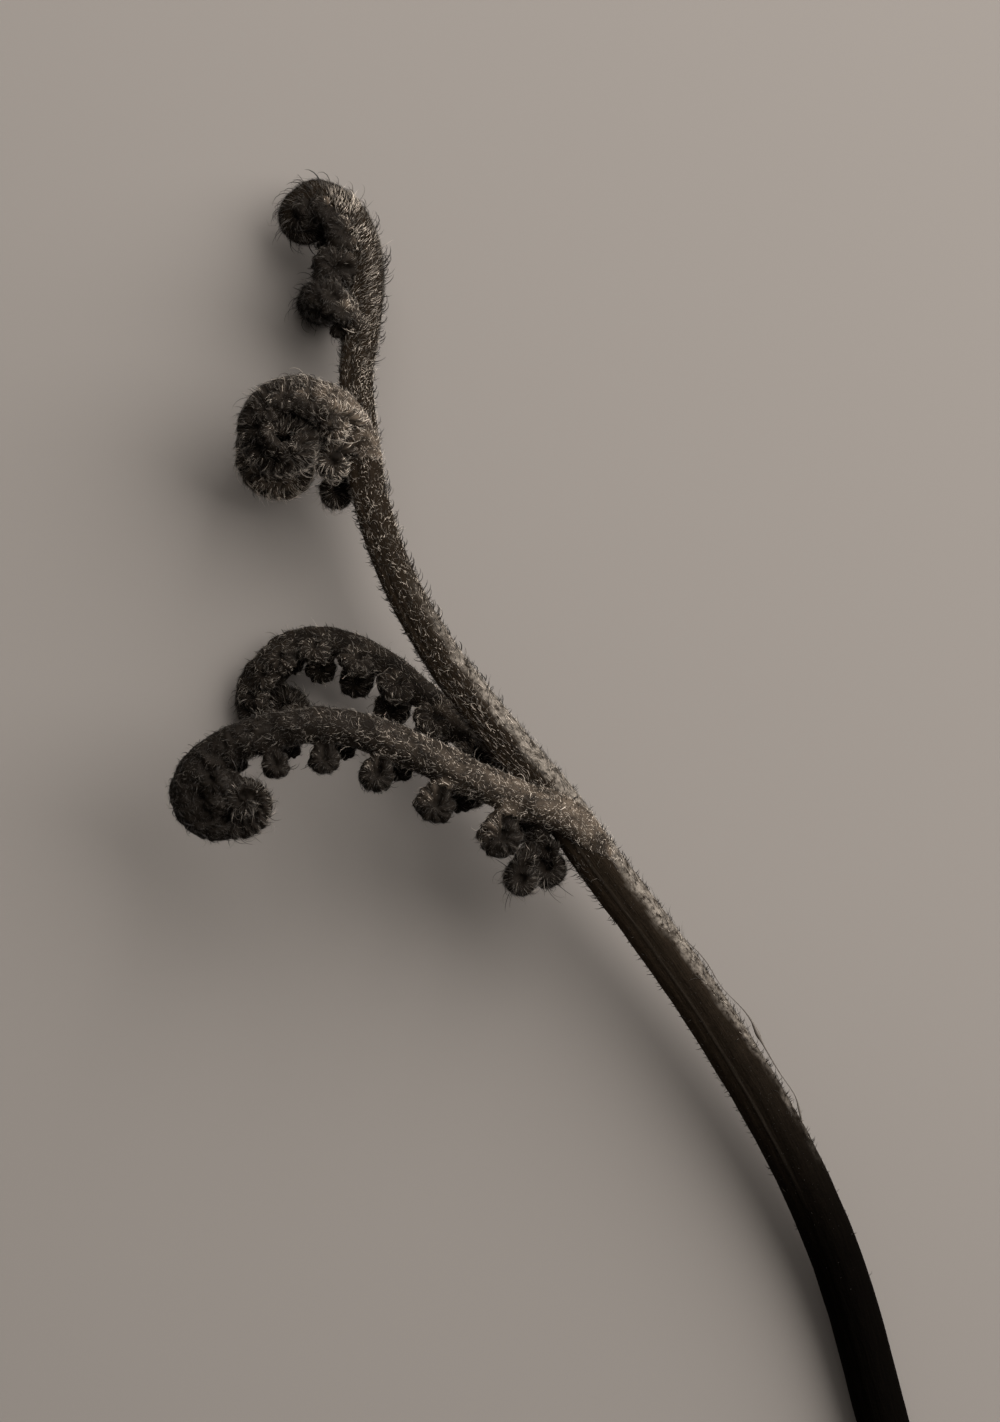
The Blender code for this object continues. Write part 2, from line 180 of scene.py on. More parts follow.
MIDDLE_REAR = Limb(
    route=(
        (-24.4, 41.2, 9.9, 1.3), (-26.8, 45.2, 8.2, 1.92), (-29.3, 47.2, 7.0, 1.92),
        (-32.5, 48.1, 6.4, 1.92),
    ),
    curl=Curl(turn=430, bends=(6.2, 1.4), tip=(5.8, 1.4)),
    buds=(
        Buds(start=6.9, gaps=(3.8, 0.92), sizes=(2.1, 0.93), pairs=8, upper=(56, 0.7), lower=(-62, 0.5)),
    ),
    tones=((0, 1.2), (12, 1.4), (20, 1.2), (26, 4.0), (34, 4.0), (44, 1.5)),
    bud_tone=1.0,
)

MIDDLE_REAR_BASAL = Limb(
    route=((-25.4, 43.4, 9.0, 1.15), (-27.6, 41.2, 8.2, 1.15), (-29.2, 39.9, 7.8, 1.15)),
    curl=Curl(turn=270, bends=(1.3, 1.0), tip=(7.6, 0.9)),
    tones=((0, 1.2), (5, 1.2)),
)

MIDDLE_LIMBS = (MIDDLE_FRONT, MIDDLE_FRONT_BASAL, MIDDLE_FRONT_INNER, MIDDLE_REAR, MIDDLE_REAR_BASAL)

UPPER_FRONT = Limb(
    route=((-25.6, 57.6, 7.8, 1.44), (-27.0, 60.2, 9.4, 1.4), (-29.0, 62.5, 10.4, 1.4)),
    curl=Curl(turn=400, bends=(1.6, 0.7), tip=(10.8, 1.0)),
    buds=(
        Buds(start=3.4, gaps=(2.6, 0.9), sizes=(1.4, 0.92), pairs=4, upper=(58, 0.3), lower=(-58, 0.3)),
    ),
    tones=((0, 1.8), (4, 1.0), (9, 0.12)),
    bud_tone=0.16,
)

UPPER_REAR = Limb(
    route=((-25.6, 56.9, 7.6, 1.32), (-27.0, 59.6, 4.4, 1.38), (-28.9, 62.6, 1.4, 1.38)),
    curl=Curl(turn=400, bends=(2.1, 1.0), tip=(0.6, 1.0)),
    buds=(
        Buds(start=2.2, gaps=(3.0, 0.88), sizes=(1.5, 0.92), pairs=5, upper=(58, 0.4), lower=(-58, 0.4)),
    ),
    tones=((0, 0.7), (9, 0.15)),
    bud_tone=0.12,
)

BUD_TURN = math.radians(265)
# Shares of a bud's size: from its stem's foot ahead to its middle, the radius of its hook, and the half
# thickness of its stem and of its tip
BUD_LEAD = 0.55
BUD_BEND = 0.54
BUD_STEM = 0.56
BUD_TIP = 0.46
# The lower row's buds stand back by this share of the gap.
LOWER_BUD_SHIFT = 0.25

# Finer than the solid
STEPS_PER_ROUTE_POINT = 8
DEGREES_PER_CURL_RING = 8
BUD_RINGS = 14
STALK_SIDES = 96
LIMB_SIDES = 24
BUD_SIDES = 16
FIBRE_SIDES = 8
DOME_ANGLES = (20, 40, 58, 74, 86)
VOXEL = 0.265

# The last turn of a limb's curl, in rings
FULL_TURN = 360 // DEGREES_PER_CURL_RING
BUD_PLEATS = 8
BUD_PLEAT_DEPTH = 0.42
# Small lobes stand out round a bud, one from each of these points of its path, in shares of its own size.
LOBE_POINTS = (4, 7, 10, 13, 15)
LOBE_REACH = 0.62
LOBE_THICKNESS = 0.50
LOBE_TILT = 0.5
BUD_HAIR_SHARE = 0.6
LIMB_PLEATS = 17
LIMB_PLEAT_DEPTH = 0.24
PLEAT_REACH = 2.2
# Pleats have this share of their height on the rim of a coil, and bend to and fro by so many radians.
RIM_SHARE = 0.3
PLEAT_WOBBLE = 1.5
# From a coil's rim to its side
FLANK = (0.2, 0.8)
# A seam is pressed in where turns of a coil meet. Its depth and width are shares of the half thickness, and
# hair is this much thinner along it and, by painted shade, this much darker.
SEAM_DEPTH = 0.42
SEAM_WIDTH = 0.5
SEAM_BARE = 0.8
SEAM_PAINTED_SHADE = 0.8
# A bud's stem has the limb's own lightness, which fades out over this many points of its path.
STEM_POINTS = 5
# The ridge height of a fold runs from 0 to 1, and this is its mean.
MEAN_FOLD = 0.64
LUMP_HEIGHT = 0.16
SWELL_HEIGHT = 0.05
# These uneven things have a width and the seed that places them.
LUMPS = (2.4, 21)
SWELLS = (6.0, 3)
PLEAT_BENDS = (3.0, 5)
BLOTCHES = (1.6, 8)
LOCKS = (0.9, 31)
FUR_MOTTLES = (3.0, 11)
SILK_BAYS = (5.0, 12)
SILK_FRINGE = (1.3, 13)
SILK_GAPS = (2.2, 14)
# How much lighter the hair on a ridge is than in a valley, which paints shade into the valleys and light onto
# the ridges, and the limits of that
FOLD_PAINTED_SHADE = 1.5
FOLD_LIMITS = (0.1, 1.6)
# Hair lies outward from a coil's middle, by this much, and along the path by what is left. That starts so
# many turns before the tip.
COMB = 0.8
COMB_STARTS = (-1.6, -1.0)
# Combed hair strays less, and hair that isn't combed is shorter, by these shares.
COMBED_STRAYS = 0.35
TANGLED_LENGTH = 0.65
# The greater the contrast, the fewer and lighter the light hairs are; the mean of all hairs stays the same.
# It rises with the lightness of the fur.
LEAST_CONTRAST = 1.2
CONTRAST_RISE = 1.6
MOST_CONTRAST = 4.0
MEAN_SHADE = 0.345
# On the crown the stalk's hair lies outward too. It is denser, and darker at the rim, by these shares.
CROWN_DENSER = 0.5
CROWN_RIM_DARK = 0.75
CROWN_COMB = 1.6
CROWN_COMB_STARTS = (146.0, 164.0)
# Hair gathers into locks: how much shorter than real their length is taken, the radius at which a coil has
# their width, in half thicknesses, and how much lighter one is than the next
LOCK_SQUEEZE = 0.22
LOCK_RADIUS = 2.5
LOCK_CONTRAST = 0.5
# The skin under the hair is palest where the hair's lightness reaches this.
FULL_FELT = 4.0
# The underside has this share of the hair, and ends over this range of the skin's slope.
UNDERSIDE_SHARE = 0.45
UNDERSIDE_ENDS = (-0.5, 0.1)

# Patches of much paler or darker hair that paint light and shade: painted highlights, such as the bright
# crescents on the crown, painted light on parts of coils that lie in shadow, and painted shade in hollows and
# dimples. Each is x and y from the joint, reach, and the factor by which it changes the lightness
PAINTED_LIGHT_AND_SHADE = (
    (-27.7, 72.9, 1.0, 8.0), (-28.8, 74.0, 0.8, 4.0), (-26.1, 69.6, 0.9, 8.0), (-26.6, 68.8, 0.8, 4.0),
    (-30.6, 72.2, 1.1, 0.15), (-30.4, 69.6, 1.0, 0.15), (-28.6, 70.8, 0.8, 0.3), (-29.4, 65.6, 1.2, 0.3),
    (-30.6, 61.8, 1.8, 0.3), (-27.2, 61.6, 1.1, 3.5), (-25.4, 64.2, 1.2, 2.2),
    (-36.5, 46.0, 0.7, 3.0), (-28.4, 46.4, 2.3, 3.0), (-35.2, 40.0, 2.2, 2.0),
    (-15.0, 12.6, 1.8, 2.0), (-1.8, -0.9, 1.8, 1.5), (-0.6, -3.4, 1.2, 0.4), (2.0, -5.0, 1.6, 0.35),
    (-13.8, 6.4, 2.4, 1.25), (-40.6, 1.5, 0.8, 0.1), (-43.4, 3.2, 0.8, 0.2), (-42.6, 4.6, 0.7, 0.3),
)

# Ridges and grooves that run along the stalk: the angle round it (0 on the right of its growth, 90 on top),
# the half width in degrees and the height
STALK_RIBS = (
    (99, 6, -0.05), (110, 3, 0.06), (121, 7, -0.06), (137, 5, 0.04), (62, 8, -0.04),
    (-30, 8, -0.08), (-80, 5, 0.08), (-92, 9, -0.16), (-106, 5, 0.08), (-150, 8, -0.08),
)
# What follows changes along the stalk, at these distances from its cut end: from where to where it starts or
# ends, or both in a row.
RIBS_FADE = (120.0, 150.0)
FUR_STARTS = (80.0, 98.0)
FUR_LATER_ON_LEFT = 9.0
# Left of the silk the fur lies combed along the stalk here.
COMBED_STRETCH = (76.0, 84.0, 102.0, 120.0)
# Below the fur the skin is a brown velvet, which turns to bare black bark towards the cut end.
VELVET_STARTS = (26.0, 76.0)
# Pale silk lies along the stalk's right side, with less fur under it. Its inner edge, across from -1 on the
# left to 1, moves inwards as the silk widens.
SILK_STARTS = (38.0, 80.0)
SILK_ENDS = (112.0, 128.0)
SILK_CLEARS_FUR = 0.85
SILK_EDGE = 0.8
SILK_WIDENS = 0.5
SILK_SOFTNESS = 0.3
# Dark hooked hairs stand along its sides, with fewer on the left and on the crown.
HOOKS_START = (96.0, 126.0)
HOOKS_ON_LEFT = 0.3
CROWN_CLEARS_HOOKS = 0.7
# The crown has wisps instead of stubble.
WISPS_START = (160.0, 170.0)
# On its edges stands stubble. On the left that is thin at first and thickens further up.
STUBBLE_STARTS = (24.0, 60.0)
STUBBLE_THICKENS = (78.0, 94.0)
THIN_STUBBLE = 0.7
THICKER_STUBBLE = 0.9
SCURF_STARTS = (20.0, 50.0)
FIBRES_STRETCH = (44.0, 70.0, 140.0, 155.0)
# A thin pale line runs along one rib.
LINE_STRETCH = (34.0, 50.0, 96.0, 106.0)
LINE_ANGLE = 110
LINE_WIDTH = 2.2
# Pale fur of the lower front leaflet spreads down over the stalk, round a place below their joint that is
# measured from the middle of the footprint.
SPREAD_PLACE = (2.0, -5.4)
SPREAD_REACH = 2.8
SPREAD_LIGHT = 1.4
# On the leaflets stubble is thin where hair is combed and light, and wisps are thick where it is dark.
COMBED_CLEARS_STUBBLE = 0.85
DARK_STUBBLE = 0.7
DARK_WISPS = 5


# Paths: rows of x, y, z and half thickness

def smooth_route(route):
    """A smooth curve through the route points."""
    knots = np.array(route)
    knots = np.vstack([2 * knots[0] - knots[1], knots, 2 * knots[-1] - knots[-2]])
    t = np.arange(STEPS_PER_ROUTE_POINT)[:, None] / STEPS_PER_ROUTE_POINT
    stretches = [
        near
        + 0.5 * t * (far - before)
        + t**2 * (before - 2.5 * near + 2 * far - 0.5 * after)
        + t**3 * (1.5 * (near - far) + 0.5 * (after - before))
        for before, near, far, after in zip(knots, knots[1:], knots[2:], knots[3:])
    ]
    return np.vstack([*stretches, knots[-2:-1]])


def winding(heading, turn, rings):
    """The headings of the steps of a curl, and the share of it that is done after each."""
    steps = np.arange(rings)
    return heading + turn * (steps + 0.5), (steps + 1) / rings


def curled_tip(path, curl):
    """Points that go on from the end of a path and wind inwards, as a fiddlehead does."""
    start, back = path[-1], path[-1 - STEPS_PER_ROUTE_POINT // 2]
    rings = round(curl.turn / DEGREES_PER_CURL_RING)
    turn = math.radians(curl.turn) / rings
    headings, share = winding(math.atan2(start[1] - back[1], start[0] - back[0]), turn, rings)
    first, last = curl.bends
    height, half = curl.tip
    step = turn * first * (last / first) ** share
    x = start[0] + np.cumsum(step * np.cos(headings))
    y = start[1] + np.cumsum(step * np.sin(headings))
    z = start[2] + (height - start[2]) * share
    thickness = start[3] + (half - start[3]) * share
    return np.column_stack([x, y, z, thickness])


def limb_path(limb):
    path = smooth_route(limb.route)
    path = np.vstack([path, curled_tip(path, limb.curl)])
    path[:, :3] += JOINT_PLACE
    return path


def unit(vectors):
    return vectors / np.maximum(np.linalg.norm(vectors, axis=1, keepdims=True), 1e-9)


def directions(path):
    """Unit vectors along a path, one for each point."""
    return unit(np.gradient(path[:, :3], axis=0))


def rounded_end(path):
    """The path with its tip drawn in, so that its tube ends in a dome."""
    end, ahead = path[-1], directions(path)[-1]
    angles = np.radians(DOME_ANGLES)[:, None]
    dome = np.hstack([end[:3] + ahead * end[3] * np.sin(angles), end[3] * np.cos(angles)])
    return np.vstack([path, dome])


def bud_path(spot, ahead, lean, reach, size):
    """A small stem that leaves the rib towards a bud's middle, and hooks back round it."""
    inward = np.array((-ahead[1], ahead[0], 0.0))
    inward /= np.linalg.norm(inward)
    across = inward * math.cos(lean) + np.array((0, 0, 1)) * math.sin(lean)
    bend = BUD_BEND * size
    middle_along = BUD_LEAD * size
    middle_out = spot[3] + reach * size
    distance = math.hypot(middle_along, middle_out)
    heading = math.atan2(middle_out, middle_along) - math.asin(bend / distance)
    stem = math.sqrt(distance**2 - bend**2)
    turn = BUD_TURN / BUD_RINGS
    headings, share = winding(heading, turn, BUD_RINGS)
    along = stem * math.cos(heading) + np.cumsum(bend * turn * np.cos(headings))
    out = stem * math.sin(heading) + np.cumsum(bend * turn * np.sin(headings))
    along = np.concatenate([[0.0, stem * math.cos(heading)], along])
    out = np.concatenate([[0.0, stem * math.sin(heading)], out])
    thickness = size * np.concatenate([[BUD_STEM, BUD_BEND], BUD_BEND + (BUD_TIP - BUD_BEND) * share])
    return np.column_stack([spot[:3] + np.outer(along, ahead) + np.outer(out, across), thickness])


def distances_along(path):
    steps = np.linalg.norm(np.diff(path[:, :3], axis=0), axis=1)
    return np.concatenate([[0.0], np.cumsum(steps)])


def at_distance(rows, travelled, distance):
    """The row of a path that lies at that distance along it."""
    return np.array([np.interp(distance, travelled, column) for column in rows.T])


def bud_rows(limb, path):
    """Paths of the two rows of buds on a limb, by the limb's own rule of gaps and sizes."""
    travelled = distances_along(path)
    ahead = directions(path)
    rows = []
    for rule in limb.buds:
        place, gap, size = rule.start, rule.gaps[0], rule.sizes[0]
        for _ in range(rule.pairs):
            for (lean, reach), back in ((rule.upper, 0.0), (rule.lower, LOWER_BUD_SHIFT * gap)):
                spot = at_distance(path, travelled, place - back)
                forward = at_distance(ahead, travelled, place - back)
                rows.append(bud_path(spot, forward, math.radians(lean), reach, size))
            place += gap
            gap *= rule.gaps[1]
            size *= rule.sizes[1]
    return rows


# Skins

def tube(path, sides):
    """A closed mesh: a round tube along a path."""
    curve = bpy.data.curves.new("guide", "CURVE")
    curve.dimensions = "3D"
    curve.twist_mode = "Z_UP"
    curve.bevel_depth = 1.0
    curve.bevel_resolution = sides // 2 - 2
    curve.use_fill_caps = True
    spline = curve.splines.new("POLY")
    spline.points.add(len(path) - 1)
    for point, (x, y, z, thickness) in zip(spline.points, path):
        point.co = (x, y, z, 1.0)
        point.radius = thickness
    guide = bpy.data.objects.new("guide", curve)
    mesh = bpy.data.meshes.new_from_object(guide)
    bpy.data.objects.remove(guide)
    bpy.data.curves.remove(curve)
    return mesh


def joined(name, meshes):
    """One object that holds all the meshes, with doubled points merged and faces outward."""
    shape = bmesh.new()
    for mesh in meshes:
        shape.from_mesh(mesh)
        bpy.data.meshes.remove(mesh)
    bmesh.ops.remove_doubles(shape, verts=shape.verts, dist=1e-5)
    bmesh.ops.recalc_face_normals(shape, faces=shape.faces)
    return as_object(name, shape)


def add_object(name, data):
    body = bpy.data.objects.new(name, data)
    bpy.context.scene.collection.objects.link(body)
    return body


def as_object(name, shape):
    mesh = bpy.data.meshes.new(name)
    shape.to_mesh(mesh)
    shape.free()
    return add_object(name, mesh)


def apply_modifier(body, kind, **settings):
    modifier = body.modifiers.new(kind.lower(), kind)
    for key, value in settings.items():
        setattr(modifier, key, value)
    mesh = bpy.data.meshes.new_from_object(body.evaluated_get(bpy.context.evaluated_depsgraph_get()))
    body.modifiers.clear()
    old = body.data
    body.data = mesh
    bpy.data.meshes.remove(old)


def read_rows(collection, name, kind=np.float32):
    """One property of every item, as rows of three numbers."""
    values = np.empty(len(collection) * 3, kind)
    collection.foreach_get(name, values)
    return values.reshape(-1, 3)


def points_of(mesh):
    return read_rows(mesh.vertices, "co").astype(float)


def normals_of(mesh):
    return read_rows(mesh.vertex_normals, "vector").astype(float)


def put_attributes(mesh, **values):
    for name, numbers in values.items():
        attribute = mesh.attributes.new(name, "FLOAT", "POINT")
        attribute.data.foreach_set("value", numbers.astype(np.float32))


# A path that is curled up in its last `rings` points, with `pleats` folds on its sides. The length of its
# hair is a share of the usual one.
Coil = namedtuple("Coil", "path rings pleats depth light length")
# All the path points of a piece, with each one's direction, path number, and hair's lightness and length
Strands = namedtuple("Strands", "points radii ahead along number light length")
# A finished skin, and at each point the direction of its hair, how well it is combed, its length, lightness
# and density
Skin = namedtuple("Skin", "body flow order length tone density")


def lightness(limb, path):
    """How light a limb's hair is at each point of its path."""
    distances, tones = zip(*limb.tones)
    return np.interp(distances_along(path), distances, tones)


def light_at(limb, path, spot):
    return lightness(limb, path)[np.linalg.norm(path[:, :3] - spot, axis=1).argmin()]


def strands_of(coils):
    paths = [coil.path for coil in coils]
    return Strands(
        points=np.vstack([p[:, :3] for p in paths]),
        radii=np.concatenate([p[:, 3] for p in paths]),
        ahead=np.vstack([directions(p) for p in paths]),
        along=np.concatenate([distances_along(p) for p in paths]),
        number=np.concatenate([np.full(len(p), i) for i, p in enumerate(paths)]),
        light=np.concatenate([coil.light for coil in coils]),
        length=np.concatenate([np.full(len(coil.path), coil.length) for coil in coils]),
    )


def nearest(points, strands):
    """For each point of a skin, the index of the strand point that it belongs to."""
    found = []
    for part in np.array_split(points, max(1, len(points) // 4000)):
        away = np.linalg.norm(part[:, None, :] - strands.points[None], axis=2) - strands.radii
        found.append(away.argmin(axis=1))
    return np.concatenate(found)


def waves(points, size, seed):
    """Soft lumps of about that size, from -1 to 1: a sum of waves in seeded directions."""
    draw = np.random.default_rng(seed)
    total = np.zeros(len(points))
    for _ in range(7):
        direction = draw.normal(size=3)
        direction *= 2 * math.pi / size / np.linalg.norm(direction) * draw.uniform(0.7, 1.4)
        total += np.sin(points @ direction + draw.uniform(0, 2 * math.pi))
    return np.clip(total / 4, -1, 1)


def soft_step(values, low, high):
    share = np.clip((values - low) / (high - low), 0, 1)
    return share * share * (3 - 2 * share)


def between(values, first, full, fading, last):
    """Rises from the first value to the full one, and falls from the fading one to the last."""
    return soft_step(values, first, full) * (1 - soft_step(values, fading, last))


def painted_light_and_shade(points):
    """The factor by which the patches of painted light and shade change the lightness of the hair at each
    point.
    """
    result = np.ones(len(points))
    for x, y, reach, factor in PAINTED_LIGHT_AND_SHADE:
        away = points[:, :2] - JOINT_PLACE[:2] - (x, y)
        result *= factor ** np.exp(-((away**2).sum(axis=1) / reach**2))
    return result


def whorl(coil):
    """The middle of a coil and three axes: two in the plane of the coil, and the one it turns about."""
    curl = coil.path[-coil.rings:, :3]
    middle = curl.mean(axis=0)
    turning = np.cross(curl[:-1] - middle, curl[1:] - middle).sum(axis=0)
    turning /= np.linalg.norm(turning)
    first = curl[0] - middle
    first -= turning * (first @ turning)
    first /= np.linalg.norm(first)
    return middle, first, np.cross(turning, first), turning


def seam_of(points, coil):
    """How close each point is to the seam between two turns of its coil: 1 on it and 0 away from it."""
    away = np.linalg.norm(points[:, None, :] - coil.path[None, :, :3], axis=2) - coil.path[:, 3]
    closest = away.argmin(axis=1)
    apart = np.abs(np.arange(len(coil.path))[None] - closest[:, None])
    other_turn = np.where(apart < coil.rings / 2, np.inf, away).min(axis=1)
    width = SEAM_WIDTH * coil.path[closest, 3]
    return np.exp(-(((other_turn - away.min(axis=1)) / width) ** 2))


def locks_of(along, angle, radius):
    """Soft streaks that run one way and stand side by side the other, from -1 to 1."""
    place = np.column_stack([LOCK_SQUEEZE * along, radius * np.cos(angle), radius * np.sin(angle)])
    return waves(place, *LOCKS)


def pleated(points, normals, strands, spots, coils):
    """Folds the sides of every coil into ridges that fan out from its middle, as packed leaf lobes do."""
    moved = points + LUMP_HEIGHT * normals * waves(points, *LUMPS)[:, None]
    tone = 0.8 + 0.35 * waves(points, *BLOTCHES)
    seams = np.zeros(len(points))
    order = np.zeros(len(points))
    flow = strands.ahead[spots]
    locks = locks_of(strands.along[spots], around(points, strands, spots)[0], strands.radii[spots])
    for number, coil in enumerate(coils):
        mine = np.flatnonzero(strands.number[spots] == number)
        if not len(mine):
            continue
        middle, first, second, turning = whorl(coil)
        out = points[mine] - middle
        angle = np.arctan2(out @ second, out @ first)
        outward = out - np.outer(out @ turning, turning)
        away = np.linalg.norm(outward, axis=1)
        thickness = coil.path[:, 3].max()
        flank = np.abs(normals[mine] @ turning)
        share = RIM_SHARE + (1 - RIM_SHARE) * flank
        share *= np.clip(PLEAT_REACH - away / (PLEAT_REACH * thickness), 0, 1)
        bends = PLEAT_WOBBLE * waves(points[mine], *PLEAT_BENDS)
        fold = np.abs(np.cos(0.5 * coil.pleats * angle + bends)) - MEAN_FOLD
        from_end = len(coil.path) - (spots[mine] - np.searchsorted(strands.number, number))
        curled = soft_step(-from_end / coil.rings, *COMB_STARTS)
        order[mine] = curled
        combed = (COMB * curled * soft_step(flank, *FLANK))[:, None]
        flow[mine] = flow[mine] * (1 - combed) + unit(outward) * combed
        locks[mine] += (locks_of(away, angle, LOCK_RADIUS * thickness) - locks[mine]) * curled
        seams[mine] = seam_of(points[mine], coil)
        height = fold * coil.depth * share - SEAM_DEPTH * seams[mine]
        moved[mine] += normals[mine] * (height * thickness)[:, None]
        # Painted shade in the valleys and painted light on the ridges
        tone[mine] += FOLD_PAINTED_SHADE * fold * share
    # Painted shade darkens the hair in the seams, and the tones and patches add their painted light and
    # shade.
    tone = np.clip(tone, *FOLD_LIMITS) * (1 - SEAM_PAINTED_SHADE * seams)
    tone *= strands.light[spots]
    tone *= painted_light_and_shade(points)
    tone *= 1 + LOCK_CONTRAST * locks
    return moved, flow, order, tone, 1 - SEAM_BARE * seams


def around(points, strands, spots):
    """The angle of each skin point round its strand, 0 on the right and 90 degrees on top, and which way is
    right."""
    ahead = strands.ahead[spots]
    right = unit(np.cross(ahead, (0, 0, 1)))
    top = np.cross(right, ahead)
    out = points - strands.points[spots]
    return np.arctan2((out * top).sum(axis=1), (out * right).sum(axis=1)), right


def upper_side(normals):
    """The share of the hair that each point has for the side it faces."""
    return UNDERSIDE_SHARE + (1 - UNDERSIDE_SHARE) * soft_step(normals[:, 2], *UNDERSIDE_ENDS)


def dress(body, material):
    body.data.materials.clear()
    body.data.materials.append(material)
    body.data.shade_smooth()


def finish_skin(body, points, material):
    """Moves the skin to its final points, none of them under the floor, and gives it its material."""
    points[:, 2] = np.maximum(points[:, 2], 0.0)
    body.data.vertices.foreach_set("co", points.astype(np.float32).ravel())
    body.data.update()
    dress(body, material)


# How thick the fur and the silk on the stalk are at each point, from 0 to 1
Cover = namedtuple("Cover", "fur silk")


def spread_fur(points):
    apart = np.hypot(*(points[:, :2] - SPREAD_PLACE).T)
    return np.exp(-((apart / SPREAD_REACH) ** 2))


def stalk_cover(points, along, across):
    mottled = np.clip(0.85 + 0.35 * waves(points, *FUR_MOTTLES), 0, 1)
    later = FUR_LATER_ON_LEFT * (1 - soft_step(across, -0.1, 0.5))
    fur = np.maximum(soft_step(along - later, *FUR_STARTS) * mottled, spread_fur(points))
    widening = soft_step(along, *SILK_STARTS)
    edge = SILK_EDGE - SILK_WIDENS * widening
    edge = edge + 0.12 * waves(points, *SILK_BAYS) + 0.14 * waves(points, *SILK_FRINGE)
    silk = widening**0.5 * (1 - soft_step(along, *SILK_ENDS)) * soft_step(across - edge, 0.0, SILK_SOFTNESS)
    silk *= np.clip(0.8 + 0.4 * waves(points, *SILK_GAPS), 0, 1)
    return Cover(fur, silk)


def build_stalk(material):
    path = limb_path(STALK)
    body = joined("stalk", [tube(rounded_end(path), STALK_SIDES)])
    strands = strands_of([Coil(path, FULL_TURN, 0, 0, lightness(STALK, path), 1.0)])
    points = points_of(body.data)
    spots = nearest(points, strands)
    angle, right = around(points, strands, spots)
    degrees = np.degrees(angle)
    across = np.cos(angle)
    along = strands.along[spots]
    cover = stalk_cover(points, along, across)
    height = SWELL_HEIGHT * waves(points, *SWELLS)
    for middle, width, rise in STALK_RIBS:
        apart = (degrees - middle + 180) % 360 - 180
        height += rise * np.exp(-((apart / width) ** 2))
    height *= 1 - soft_step(along, *RIBS_FADE)
    normals = normals_of(body.data)
    moved = points + normals * height[:, None]
    is_end = along < 0.01
    moved[is_end] = points[is_end]
    put_attributes(
        body.data,
        along=along,
        around=angle,
        silk=cover.silk,
        velvet=soft_step(along, *VELVET_STARTS),
        line=np.exp(-(((degrees - LINE_ANGLE) / LINE_WIDTH) ** 2)) * between(along, *LINE_STRETCH),
        # left: where the velvet is made paler by painted fill light
        left=soft_step(-across, 0.2, 0.9),
    )
    finish_skin(body, moved, material)
    # Painted shade: the stalk's hair darkens towards its left side, away from the light.
    painted_left_shade = 0.45 + 0.55 * soft_step(across, -0.7, 0.3)
    tone = strands.light[spots] * painted_left_shade * (0.8 + 0.3 * waves(points, *BLOTCHES)) * painted_light_and_shade(points)
    tone *= 1 + 0.5 * LOCK_CONTRAST * locks_of(along, angle, strands.radii[spots])
    crown = soft_step(along, *CROWN_COMB_STARTS)
    order = np.maximum(crown, between(along, *COMBED_STRETCH) * (1 - soft_step(across, 0.1, 0.6)))
    tone *= 1 - CROWN_RIM_DARK * crown * soft_step(across, 0.6, 0.95)
    tone = np.maximum(np.maximum(tone, cover.silk), SPREAD_LIGHT * spread_fur(points))
    flow = strands.ahead[spots] + right * (CROWN_COMB * crown)[:, None]
    length = TANGLED_LENGTH + (1 - TANGLED_LENGTH) * order
    return Skin(body, flow, order, length, tone, upper_side(normals)), along, across, cover


def lobes(coil):
    """Paths of the small lobes of a bud. They lean to one side of its coil and to the other by turns."""
    middle, _, _, turning = whorl(coil)
    found = []
    for side, index in enumerate(LOBE_POINTS):
        x, y, z, thickness = coil.path[index]
        spot = np.array((x, y, z))
        out = unit((spot - middle)[None])[0] + turning * (LOBE_TILT if side % 2 else -LOBE_TILT)
        tip = spot + LOBE_REACH * thickness * out
        found.append(np.array([(*spot, LOBE_THICKNESS * thickness), (*tip, LOBE_THICKNESS * thickness)]))
    return found


def build_leaflet(name, limbs, material):
    coils = []
    meshes = []
    for limb in limbs:
        path = limb_path(limb)
        if limb is not STALK:
            coils.append(Coil(path, FULL_TURN, LIMB_PLEATS, LIMB_PLEAT_DEPTH, lightness(limb, path), 1.0))
            meshes.append(tube(rounded_end(path), LIMB_SIDES))
        for bud in bud_rows(limb, path):
            at_stem = light_at(limb, path, bud[0, :3])
            fading = np.clip(1 - np.arange(len(bud)) / STEM_POINTS, 0, 1)
            light = limb.bud_tone + (at_stem - limb.bud_tone) * fading
            coils.append(Coil(bud, BUD_RINGS, BUD_PLEATS, BUD_PLEAT_DEPTH, light, BUD_HAIR_SHARE))
            meshes.append(tube(rounded_end(bud), BUD_SIDES))
            meshes.extend(tube(rounded_end(lobe), BUD_SIDES) for lobe in lobes(coils[-1]))
    body = joined(name, meshes)
    apply_modifier(body, "REMESH", mode="VOXEL", voxel_size=VOXEL)
    apply_modifier(body, "SMOOTH", factor=0.5, iterations=4)
    strands = strands_of(coils)
    points = points_of(body.data)
    spots = nearest(points, strands)
    normals = normals_of(body.data)
    moved, flow, order, tone, density = pleated(points, normals, strands, spots, coils)
    length = strands.length[spots] * (TANGLED_LENGTH + (1 - TANGLED_LENGTH) * order)
    # The skin pales with the hair's lightness, so it also carries the painted light and shade of the tones,
    # patches, folds and seams.
    put_attributes(body.data, felt=np.minimum((tone / FULL_FELT) ** 1.5, 1.0))
    finish_skin(body, moved, material)
    return Skin(body, flow, order, length, tone, density * upper_side(normals))


# Materials

def feed(tree, socket, value):
    """Links a value to a socket, or sets the socket to a plain number or colour."""
    if isinstance(value, Value):
        tree.links.new(value.socket, socket)
    else:
        socket.default_value = value


